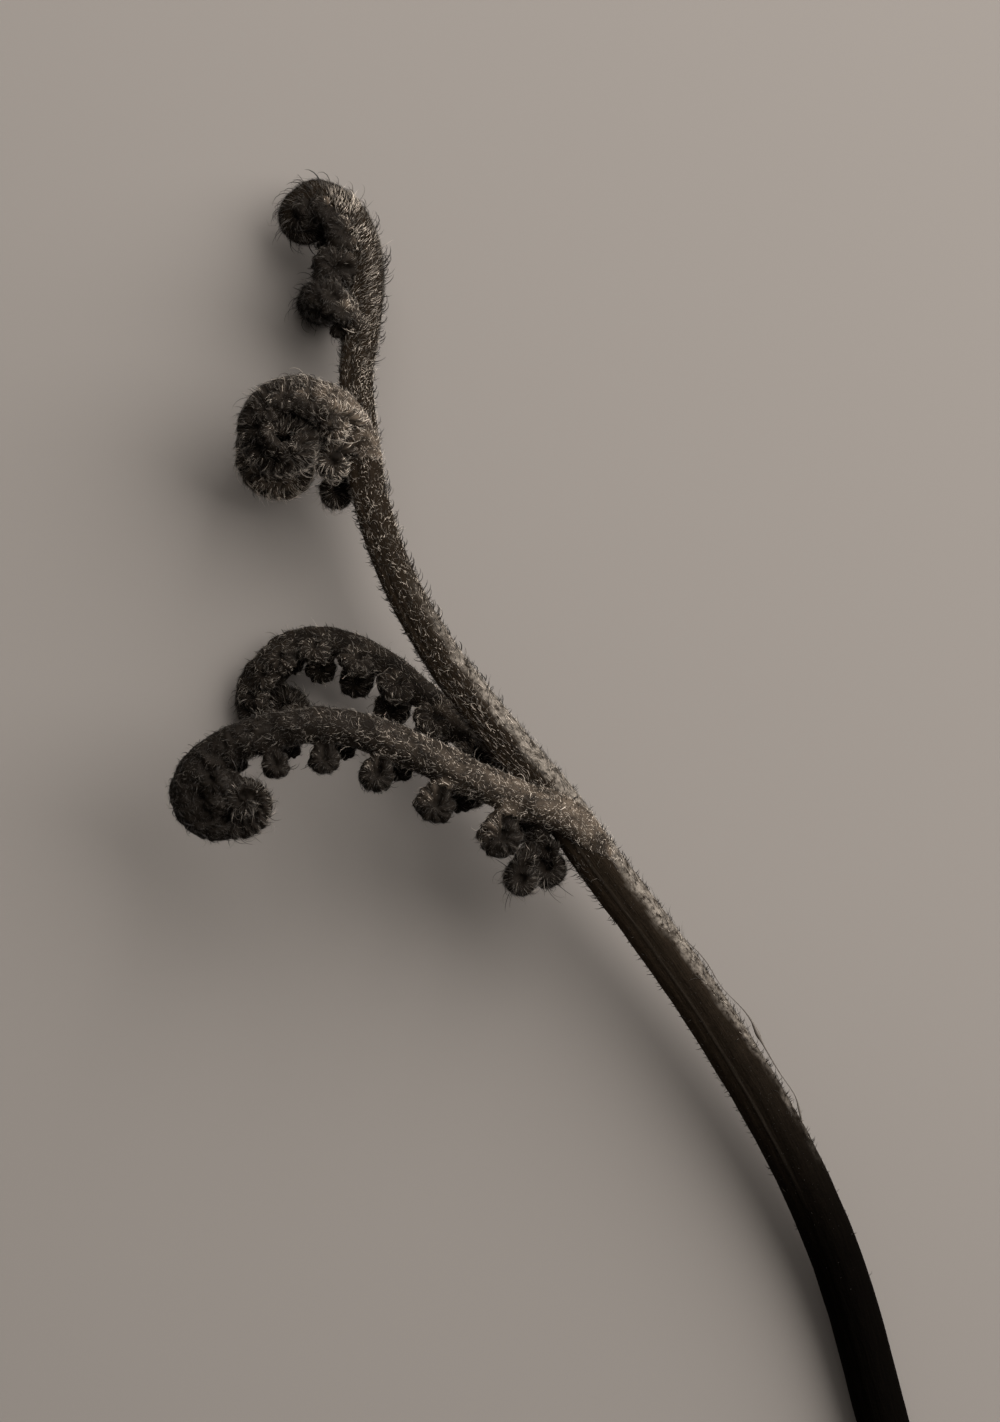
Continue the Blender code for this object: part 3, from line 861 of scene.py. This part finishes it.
class Value:
    """A socket that takes part in Python sums: each operator adds its Math node."""

    def __init__(self, tree, socket):
        self.tree = tree
        self.socket = socket

    def operate(self, operation, other):
        node = self.tree.nodes.new("ShaderNodeMath")
        node.operation = operation
        feed(self.tree, node.inputs[0], self)
        feed(self.tree, node.inputs[1], other)
        return Value(self.tree, node.outputs[0])

    __add__ = __radd__ = partialmethod(operate, "ADD")
    __sub__ = partialmethod(operate, "SUBTRACT")
    __mul__ = __rmul__ = partialmethod(operate, "MULTIPLY")
    __pow__ = partialmethod(operate, "POWER")


class Finish:
    """A material, and the methods that add its nodes."""

    def __init__(self, name, **constants):
        self.material = bpy.data.materials.new(name)
        self.material.use_nodes = True
        self.tree = self.material.node_tree
        self.set(**constants)

    def fill(self, node, sockets):
        for key, value in sockets.items():
            feed(self.tree, node.inputs[key.replace("_", " ")], value)

    def set(self, **sockets):
        self.fill(self.tree.nodes["Principled BSDF"], sockets)

    def node(self, kind, output=0, settings=None, **sockets):
        node = self.tree.nodes.new(kind)
        for key, value in (settings or {}).items():
            setattr(node, key, value)
        self.fill(node, sockets)
        return Value(self.tree, node.outputs[output])

    def attribute(self, name):
        return self.node("ShaderNodeAttribute", output="Fac", settings={"attribute_name": name})

    def noise(self, scale, detail=3.0, roughness=0.55, place=None):
        place = place or self.node("ShaderNodeTexCoord", output="Object")
        return self.node("ShaderNodeTexNoise", Vector=place, Scale=scale, Detail=detail, Roughness=roughness)

    def mix(self, share, first, second):
        node = self.tree.nodes.new("ShaderNodeMix")
        node.data_type = "RGBA"
        feed(self.tree, node.inputs["Factor"], share)
        feed(self.tree, node.inputs[6], first)
        feed(self.tree, node.inputs[7], second)
        return Value(self.tree, node.outputs[2])


SKIN_DARK = (0.0060, 0.0040, 0.0024, 1.0)
SKIN_LIGHT = (0.130, 0.101, 0.075, 1.0)
BARK_DARK = (0.0006, 0.0004, 0.0003, 1.0)
BARK_LIGHT = (0.0024, 0.0018, 0.0012, 1.0)
VELVET_BROWN = (0.020, 0.0145, 0.0098, 1.0)
# Painted light: on the stalk's left side, which the lamps leave in shadow, the velvet is paler, as if lit by
# a fill lamp.
VELVET_PAINTED_FILL = (0.060, 0.043, 0.029, 1.0)
SILK_PALE = (0.182, 0.160, 0.136, 1.0)
LINE_PALE = (0.060, 0.049, 0.038, 1.0)
HAIR_DARK = (0.0080, 0.0053, 0.0032, 1.0)
HAIR_LIGHT = (0.82, 0.72, 0.61, 1.0)


def leaf_finish():
    finish = Finish("frond_skin", Specular_IOR_Level=0.1)
    lumps = finish.noise(700.0)
    grain = finish.noise(4000.0)
    colour = finish.mix(lumps * finish.attribute("felt"), SKIN_DARK, SKIN_LIGHT)
    bump = finish.node("ShaderNodeBump", Strength=0.3, Distance=0.0001, Height=grain)
    finish.set(Base_Color=colour, Roughness=0.65 + 0.2 * lumps, Normal=bump)
    return finish.material


def stalk_finish():
    finish = Finish("stalk_skin", Specular_IOR_Level=0.01)
    silk = finish.attribute("silk")
    velvet = finish.attribute("velvet")
    line = finish.attribute("line")
    angle = finish.attribute("around")
    place = finish.node("ShaderNodeCombineXYZ", X=finish.attribute("along") * 0.12, Y=angle * 4.0, Z=0.0)
    streaks = finish.noise(3.0, detail=4.0, place=place)
    grain = finish.noise(5000.0)
    bark = finish.mix(streaks ** 2.0 * 1.6, BARK_DARK, BARK_LIGHT)
    mottles = finish.noise(2200.0, detail=4.0, roughness=0.7)
    # Painted fill light makes the velvet paler towards the stalk's left side.
    velvet_with_painted_fill = finish.mix(finish.attribute("left"), VELVET_BROWN, VELVET_PAINTED_FILL)
    brown = finish.mix(velvet * (0.2 + streaks) * (0.3 + 1.3 * mottles), bark, velvet_with_painted_fill)
    lined = finish.mix(line * (0.3 + 0.7 * streaks), brown, LINE_PALE)
    net = finish.noise(1300.0, detail=5.0, roughness=0.7)
    colour = finish.mix(silk * (6.0 * (net - 0.37)), lined, SILK_PALE)
    height = streaks + mottles + grain * 0.4
    bump = finish.node("ShaderNodeBump", Strength=0.8, Distance=0.0001, Height=height)
    finish.set(Base_Color=colour, Roughness=0.65 + 0.2 * streaks, Normal=bump)
    return finish.material


def hair_finish():
    finish = Finish("frond_hair", Roughness=0.45, Specular_IOR_Level=0.4)
    finish.set(Base_Color=finish.mix(finish.attribute("shade"), HAIR_DARK, HAIR_LIGHT))
    return finish.material


# Hair

HAIR_SEED = 41
# Roots sit this far under the skin.
ROOT_DEPTH = 0.05
# A hair rises from the skin by its lift and bends on by its turn, in degrees. Its swing, in radians, is how
# far it strays from the growth. Its shade runs from darkest to lightest, and its cling draws its bend to
# the skin.
Fur = namedtuple("Fur", "cuts length lift turn swing width shade cling")
UNDER_FUR = Fur(0, (0.4, 0.9), (6, 30), (5, 10), 0.7, 0.040, (0.0, 0.42), 0.4)
OVER_FUR = Fur(1, (0.8, 1.9), (3, 24), (10, 70), 0.8, 0.022, (0.0, 1.0), 0.5)
TANGLE = Fur(2, (1.6, 3.6), (3, 15), (60, 220), 1.2, 0.018, (0.1, 1.0), 0.3)
HOOKS = Fur(3, (1.7, 2.7), (60, 95), (60, 150), 0.3, 0.085, (0.0, 0.1), 0.0)
WISPS = Fur(4, (1.4, 3.2), (50, 100), (70, 200), 0.8, 0.052, (0.0, 0.4), 0.1)
STUBBLE = Fur(1, (0.6, 1.5), (40, 110), (20, 90), 0.9, 0.060, (0.0, 0.1), 0.0)
SCURF = Fur(0, (0.25, 0.5), (5, 40), (5, 10), 1.2, 0.040, (0.0, 0.05), 0.4)
SILK = Fur(1, (1.0, 2.6), (1, 8), (4, 30), 0.5, 0.028, (0.1, 0.9), 0.1)
WEB = Fur(3, (1.5, 4.5), (3, 12), (10, 80), 0.4, 0.036, (0.0, 0.1), 0.15)
# Painted glints: short pale hairs that stand in for sparkles of light on the fur.
PAINTED_GLINTS = Fur(0, (0.4, 0.7), (10, 60), (5, 30), 1.5, 0.050, (1.0, 1.6), 0.0)
FIBRES = Fur(5, (3.0, 8.0), (1, 9), (8, 50), 0.12, 0.030, (0.0, 0.5), 0.2)
# The coat of the leaflets and of the stalk: kinds of hair and how many of each to the square millimetre
COAT = ((UNDER_FUR, 9.6), (OVER_FUR, 6.8), (TANGLE, 1.3))


def hair_template(cuts):
    """The points and triangles of a closed hair: a three-sided spike, one unit long and thick at its root."""
    shape = bmesh.new()
    bmesh.ops.create_cone(shape, cap_ends=True, segments=3, radius1=1.0, radius2=0.0, depth=1.0)
    bmesh.ops.translate(shape, verts=shape.verts, vec=(0, 0, 0.5))
    if cuts:
        long_edges = [e for e in shape.edges if abs(e.verts[0].co.z - e.verts[1].co.z) > 0.5]
        bmesh.ops.subdivide_edges(shape, edges=long_edges, cuts=cuts, use_grid_fill=True)
    bmesh.ops.triangulate(shape, faces=shape.faces)
    bmesh.ops.recalc_face_normals(shape, faces=shape.faces)
    shape.verts.ensure_lookup_table()
    shape.verts.index_update()
    points = np.array([v.co for v in shape.verts])
    faces = np.array([[v.index for v in f.verts] for f in shape.faces])
    shape.free()
    left = np.maximum(1.0 - points[:, 2], 1e-6)
    points[:, :2] *= (left**0.55 / left)[:, None]
    return points, faces


def triangles_of(mesh):
    mesh.calc_loop_triangles()
    return read_rows(mesh.loop_triangles, "vertices", np.int32)


def areas_of(points, corners):
    a, b, c = (points[corners[:, i]] for i in range(3))
    return 0.5 * np.linalg.norm(np.cross(b - a, c - a), axis=1)


def scatter(points, corners, per_mm2, chance, draw):
    """Seeded spots on a skin, `per_mm2` of them where the chance is 1: the corners of their triangles and the
    share of each corner."""
    weight = areas_of(points, corners) * chance[corners].mean(axis=1)
    count = round(per_mm2 * weight.sum())
    chosen = draw.choice(len(corners), size=count, p=weight / weight.sum())
    u, v = draw.random(count), draw.random(count)
    flip = u + v > 1
    u[flip], v[flip] = 1 - u[flip], 1 - v[flip]
    return corners[chosen], np.column_stack([1 - u - v, u, v])


def stamp(template, roots, aims, leans, lengths, widths, turns, shades):
    """The template bent from its aim towards its lean, once for each root: points, triangles and shades."""
    points, faces = template
    s = points[:, 2]
    leans = unit(leans - aims * (leans * aims).sum(axis=1, keepdims=True))
    sides = np.cross(aims, leans)
    bend = turns[:, None] * s[None]
    forward = lengths[:, None] * np.sin(bend) / turns[:, None]
    sideways = lengths[:, None] * (1 - np.cos(bend)) / turns[:, None]
    across = widths[:, None] * points[:, 0][None]
    thick = widths[:, None] * points[:, 1][None]
    forward = forward - thick * np.sin(bend)
    sideways = sideways + thick * np.cos(bend)
    co = (
        roots[:, None, :]
        + forward[:, :, None] * aims[:, None, :]
        + sideways[:, :, None] * leans[:, None, :]
        + across[:, :, None] * sides[:, None, :]
    )
    above = co[:, :, 2].min(axis=1) > 0.0
    co, shades = co[above], shades[above]
    shade = np.clip(shades[:, None] * (0.75 + 0.5 * s[None]), 0, 1)
    corners = faces[None] + np.arange(len(co))[:, None, None] * len(points)
    return co.reshape(-1, 3), corners.reshape(-1, 3), shade.ravel()


def grow(skin, fur, per_mm2, chance, draw):
    """The points, triangles and shades of the hairs of one kind on a skin."""
    mesh = skin.body.data
    points, normals = points_of(mesh), normals_of(mesh)
    corners, shares = scatter(points, triangles_of(mesh), per_mm2, chance, draw)
    count = len(corners)

    def at_roots(values):
        return (values[corners] * (shares if values.ndim == 1 else shares[:, :, None])).sum(axis=1)

    roots = at_roots(points)
    normal = unit(at_roots(normals))
    tone = at_roots(skin.tone)
    flow = at_roots(skin.flow)
    flow = unit(flow - normal * (flow * normal).sum(axis=1, keepdims=True))
    side = np.cross(normal, flow)
    stray = fur.swing * (1 - (1 - COMBED_STRAYS) * at_roots(skin.order))[:, None]
    swing = stray * draw.normal(size=(count, 1))
    flat = flow * np.cos(swing) + side * np.sin(swing)
    rise = np.radians(draw.uniform(*fur.lift, count))[:, None]
    aims = flat * np.cos(rise) + normal * np.sin(rise)
    leans = flow + stray * draw.normal(size=(count, 3)) - fur.cling * normal
    lengths = draw.uniform(*fur.length, count) * at_roots(skin.length)
    widths = fur.width * draw.uniform(0.7, 1.25, count)
    turns = np.radians(draw.uniform(*fur.turn, count))
    low, high = fur.shade
    contrast = np.minimum(LEAST_CONTRAST + CONTRAST_RISE * tone, MOST_CONTRAST)
    shades = (low + (high - low) * MEAN_SHADE * (contrast + 1) * draw.random(count) ** contrast) * tone
    roots = roots - ROOT_DEPTH * normal
    return stamp(hair_template(fur.cuts), roots, aims, leans, lengths, widths, turns, shades)


def hair_piece(skin, growths, material, draw):
    """One mesh object of several growths of hair: (kind, number to the square millimetre, chance)."""
    grown = [grow(skin, *growth, draw) for growth in growths]
    firsts = np.cumsum([0] + [len(points) for points, _, _ in grown[:-1]])
    points = np.vstack([g[0] for g in grown])
    corners = np.vstack([g[1] + first for g, first in zip(grown, firsts)]).ravel()
    mesh = bpy.data.meshes.new(skin.body.name + "_hair")
    mesh.vertices.add(len(points))
    mesh.loops.add(len(corners))
    mesh.polygons.add(len(corners) // 3)
    mesh.vertices.foreach_set("co", points.astype(np.float32).ravel())
    mesh.loops.foreach_set("vertex_index", corners.astype(np.int32))
    mesh.polygons.foreach_set("loop_start", np.arange(0, len(corners), 3, dtype=np.int32))
    mesh.update(calc_edges=True)
    put_attributes(mesh, shade=np.concatenate([g[2] for g in grown]))
    body = add_object(mesh.name, mesh)
    dress(body, material)
    return body


def leaflet_hair(skin, material, draw):
    bare = np.maximum(1 - COMBED_CLEARS_STUBBLE * skin.order, DARK_STUBBLE / (1 + 2 * skin.tone))
    growths = [
        *((fur, per_mm2, skin.density) for fur, per_mm2 in COAT),
        (WISPS, 0.12, skin.density * (1 + DARK_WISPS / (1 + 8 * skin.tone))),
        (STUBBLE, 0.9, skin.density * bare),
        (PAINTED_GLINTS, 0.25, skin.tone),
    ]
    return hair_piece(skin, growths, material, draw)


def stalk_hair(skin, along, across, cover, material, draw):
    crown = soft_step(along, *WISPS_START)
    hooked = np.abs(across) ** 8 * soft_step(along, *HOOKS_START) * np.where(across > 0, 1.0, HOOKS_ON_LEFT)
    hooked *= 1 - CROWN_CLEARS_HOOKS * crown
    denser = 1 + CROWN_DENSER * soft_step(along, *CROWN_COMB_STARTS)
    furred = cover.fur * (1 - SILK_CLEARS_FUR * cover.silk) * skin.density * denser
    stubbly = across**6 * soft_step(along, *STUBBLE_STARTS) * (1 - crown)
    on_left = THIN_STUBBLE + THICKER_STUBBLE * soft_step(along, *STUBBLE_THICKENS)
    stubbly *= np.where(across < 0, on_left, 1.0)
    silky = cover.silk * skin.density
    growths = [
        *((fur, per_mm2, furred) for fur, per_mm2 in COAT),
        (SILK, 2.8, silky),
        (WEB, 2.6, silky),
        (PAINTED_GLINTS, 0.6, furred + silky),
        (HOOKS, 0.8, hooked),
        (STUBBLE, 1.8, stubbly),
        (FIBRES, 0.2, between(along, *FIBRES_STRETCH) * soft_step(across, 0.2, 0.9)),
        (WISPS, 0.6, crown),
        (SCURF, 2.0, soft_step(along, *SCURF_STARTS) * (1 - cover.fur) * (1 - cover.silk)),
    ]
    return hair_piece(skin, growths, material, draw)


# A loose fibre that has come away from the stalk's right side. Its points are (distance along the stalk, gap
# from its skin, half thickness).
LOOSE_FIBRE = (
    (72.0, -0.1, 0.05), (68.0, 0.5, 0.06), (64.0, 0.3, 0.05), (60.5, 0.9, 0.07), (58.6, 1.0, 0.13),
    (57.0, 0.8, 0.28), (55.6, 0.7, 0.12), (52.0, 0.6, 0.07), (48.5, 0.8, 0.06), (46.6, 0.4, 0.14),
    (45.0, -0.1, 0.08),
)
FIBRE_SHADE = 0.12


def build_loose_fibre(material):
    path = limb_path(STALK)
    travelled = distances_along(path)
    ahead = directions(path)
    route = []
    for distance, gap, thickness in LOOSE_FIBRE:
        spot = at_distance(path, travelled, distance)
        forward = at_distance(ahead, travelled, distance)
        right = unit(np.cross(forward, (0, 0, 1))[None])[0]
        route.append((*(spot[:3] + right * (spot[3] + gap)), thickness))
    body = joined("loose_fibre", [tube(smooth_route(route), FIBRE_SIDES)])
    put_attributes(body.data, shade=np.full(len(body.data.vertices), FIBRE_SHADE))
    dress(body, material)
    return body


# The cut end

CUT_COLOUR_RIND = (0.012, 0.007, 0.005, 1.0)
CUT_COLOUR_PITH = (0.20, 0.13, 0.075, 1.0)
CUT_COLOUR_BUNDLE = (0.045, 0.024, 0.013, 1.0)
CUT_SIDES = 48
CUT_DEPTH = 0.5
RIND_SHARE = 0.88
# The rind narrows to this share at the face, and the pith is sunken, with a rim and a raised middle.
FACE_SHARE = 0.985
PITH_RIM = 0.08
PITH_SINKS = 0.07
PITH_MIDDLE_SHARE = 0.4
PITH_RISES = 0.05
# The cut face stands out from the end of the stalk's skin by this much.
CUT_STANDS_OUT = 0.12
# Values of the attribute that tells the parts of the cut end apart
PITH, BUNDLE, RIND = 0.0, 0.5, 1.0
# Conducting bundles in the pith: (angle, distance out as a share of the half thickness, length, width)
CUT_BUNDLES = (
    (90, 0.52, 1.5, 0.34), (62, 0.60, 0.7, 0.24), (118, 0.60, 0.7, 0.24), (25, 0.62, 0.6, 0.22),
    (155, 0.62, 0.6, 0.22), (-15, 0.60, 0.5, 0.20), (195, 0.60, 0.5, 0.20), (-55, 0.58, 0.6, 0.22),
    (235, 0.58, 0.6, 0.22), (-90, 0.40, 1.1, 0.30),
)
BUNDLE_HALF_DEPTH = 0.09
BUNDLE_SINKS = 0.03
SHARP_ANGLE = 35


def cut_finish():
    finish = Finish("frond_cut", Specular_IOR_Level=0.25)
    kind = finish.attribute("kind")
    grain = finish.noise(3500.0, detail=4.0)
    pith = finish.mix(grain, CUT_COLOUR_PITH, CUT_COLOUR_BUNDLE)
    bundles = finish.mix(kind, pith, CUT_COLOUR_BUNDLE)
    colour = finish.mix(kind * 2.0 - 1.0, bundles, CUT_COLOUR_RIND)
    bump = finish.node("ShaderNodeBump", Strength=0.6, Distance=0.0001, Height=grain)
    finish.set(Base_Color=colour, Roughness=0.7 + 0.2 * grain, Normal=bump)
    return finish.material


def build_cut_end(material):
    """The cut face of the stalk: a rind, a sunken pith and the ends of the bundles that run through it."""
    path = limb_path(STALK)
    radius = path[0, 3]
    shape = bmesh.new()
    kind = shape.verts.layers.float.new("kind")
    cone = {"segments": CUT_SIDES, "radius1": radius, "radius2": radius * FACE_SHARE, "depth": CUT_DEPTH}
    bmesh.ops.create_cone(shape, cap_ends=True, **cone)
    face = max(shape.faces, key=lambda f: f.calc_center_median().z)
    insets = (
        (RIND, radius * (1 - RIND_SHARE), 0.0),
        (RIND, PITH_RIM, -PITH_SINKS),
        (PITH, radius * PITH_MIDDLE_SHARE, PITH_RISES),
    )
    for vert in shape.verts:
        vert[kind] = RIND
    for part, thickness, depth in insets:
        for vert in face.verts:
            vert[kind] = part
        bmesh.ops.inset_individual(shape, faces=[face], thickness=thickness, depth=depth)
    for vert in face.verts:
        vert[kind] = PITH
    floor = face.calc_center_median().z
    for angle, out, length, width in CUT_BUNDLES:
        turn = Matrix.Rotation(math.radians(angle), 4, "Z")
        place = turn @ Matrix.Translation((out * radius, 0, floor - BUNDLE_SINKS))
        size = Matrix.Diagonal((width / 2, length / 2, BUNDLE_HALF_DEPTH, 1))
        ball = {"u_segments": 16, "v_segments": 8, "radius": 1.0, "matrix": place @ size}
        for vert in bmesh.ops.create_uvsphere(shape, **ball)["verts"]:
            vert[kind] = BUNDLE
    bmesh.ops.recalc_face_normals(shape, faces=shape.faces)
    outward = Vector(-directions(path)[0])
    turn = outward.to_track_quat("Z", "Y").to_matrix().to_4x4()
    place = Matrix.Translation(Vector(path[0, :3]) + outward * (CUT_STANDS_OUT - CUT_DEPTH / 2))
    bmesh.ops.transform(shape, matrix=place @ turn, verts=shape.verts)
    for vert in shape.verts:
        vert.co.z = max(vert.co.z, 0.0)
    body = as_object("cut_end", shape)
    dress(body, material)
    body.data.set_sharp_from_angle(angle=math.radians(SHARP_ANGLE))
    return body


# Light, floor and camera

PHOTO_MIDDLE = (-5.848, 15.019)
PHOTO_HEIGHT = 170.64
FOCUS_HEIGHT = 12.0
LENS = 240.0
SENSOR = 36.0
# Metres
CLIP_START = 0.05
CLIP_END = 20.0
FLOOR_SIZE = 3.0
FLOOR_GAP = 0.00003
FLOOR_COLOUR = (0.272, 0.250, 0.232, 1.0)
WORLD_COLOUR = (0.82, 0.76, 0.70, 1.0)
WORLD_STRENGTH = 0.13
LIGHT_COLOUR = (1.0, 0.96, 0.92)
# Each lamp: its place and size in metres, and its power in watts
LAMPS = {"key": ((0.58, 0.42, 0.46), 1.2, 17.5), "back": ((0.0, 0.66, 0.45), 0.6, 2.5)}


def set_camera():
    data = bpy.data.cameras.new("camera")
    data.lens = LENS
    data.sensor_width = SENSOR
    data.clip_start = CLIP_START
    data.clip_end = CLIP_END
    camera = add_object("camera", data)
    height = FOCUS_HEIGHT + PHOTO_HEIGHT * LENS / SENSOR
    camera.location = Vector((*PHOTO_MIDDLE, height)) * METRES_PER_MM
    bpy.context.scene.camera = camera


def add_lamp(name, place, size, power):
    data = bpy.data.lights.new(name, "AREA")
    data.shape = "DISK"
    data.size = size
    data.energy = power
    data.color = LIGHT_COLOUR
    light = add_object(name, data)
    light.location = place
    light.rotation_mode = "QUATERNION"
    light.rotation_quaternion = Vector(place).to_track_quat("Z", "Y")


def set_stage():
    finish = Finish("pale_floor", Base_Color=FLOOR_COLOUR, Roughness=0.9)
    shape = bmesh.new()
    bmesh.ops.create_grid(shape, x_segments=1, y_segments=1, size=FLOOR_SIZE)
    floor = as_object("floor", shape)
    floor.data.materials.append(finish.material)
    floor.location.z = -FLOOR_GAP
    world = bpy.data.worlds.new("studio")
    world.use_nodes = True
    background = world.node_tree.nodes["Background"].inputs
    background["Color"].default_value = WORLD_COLOUR
    background["Strength"].default_value = WORLD_STRENGTH
    bpy.context.scene.world = world
    for name, lamp in LAMPS.items():
        add_lamp(name, *lamp)
    bpy.context.scene.view_settings.view_transform = "Standard"


def hand_over(body):
    """Scales a finished piece to metres and lets it ride in the place of the solid frond."""
    body.data.transform(Matrix.Scale(METRES_PER_MM, 4))
    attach(body, "root")
    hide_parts(NODE)


def main():
    leaf = leaf_finish()
    hair = hair_finish()
    stalk, along, across, cover = build_stalk(stalk_finish())
    leaflets = [
        build_leaflet(name, limbs, leaf)
        for name, limbs in (
            ("lower_front_leaflet", (LOWER_FRONT, LOWER_FRONT_BASAL, LOWER_FRONT_SIDE)),
            ("lower_rear_leaflet", (LOWER_REAR,)),
            ("middle_leaflets", MIDDLE_LIMBS),
            ("upper_leaflets", (STALK, UPPER_FRONT, UPPER_REAR)),
        )
    ]
    furs = []
    draw = np.random.default_rng(HAIR_SEED)
    furs = [leaflet_hair(leaflet, hair, draw) for leaflet in leaflets]
    furs.append(stalk_hair(stalk, along, across, cover, hair, draw))
    furs.append(build_loose_fibre(hair))
    for skin in (stalk, *leaflets):
        hand_over(skin.body)
    for fur in furs:
        hand_over(fur)
    hand_over(build_cut_end(cut_finish()))
    set_stage()
    set_camera()


main()
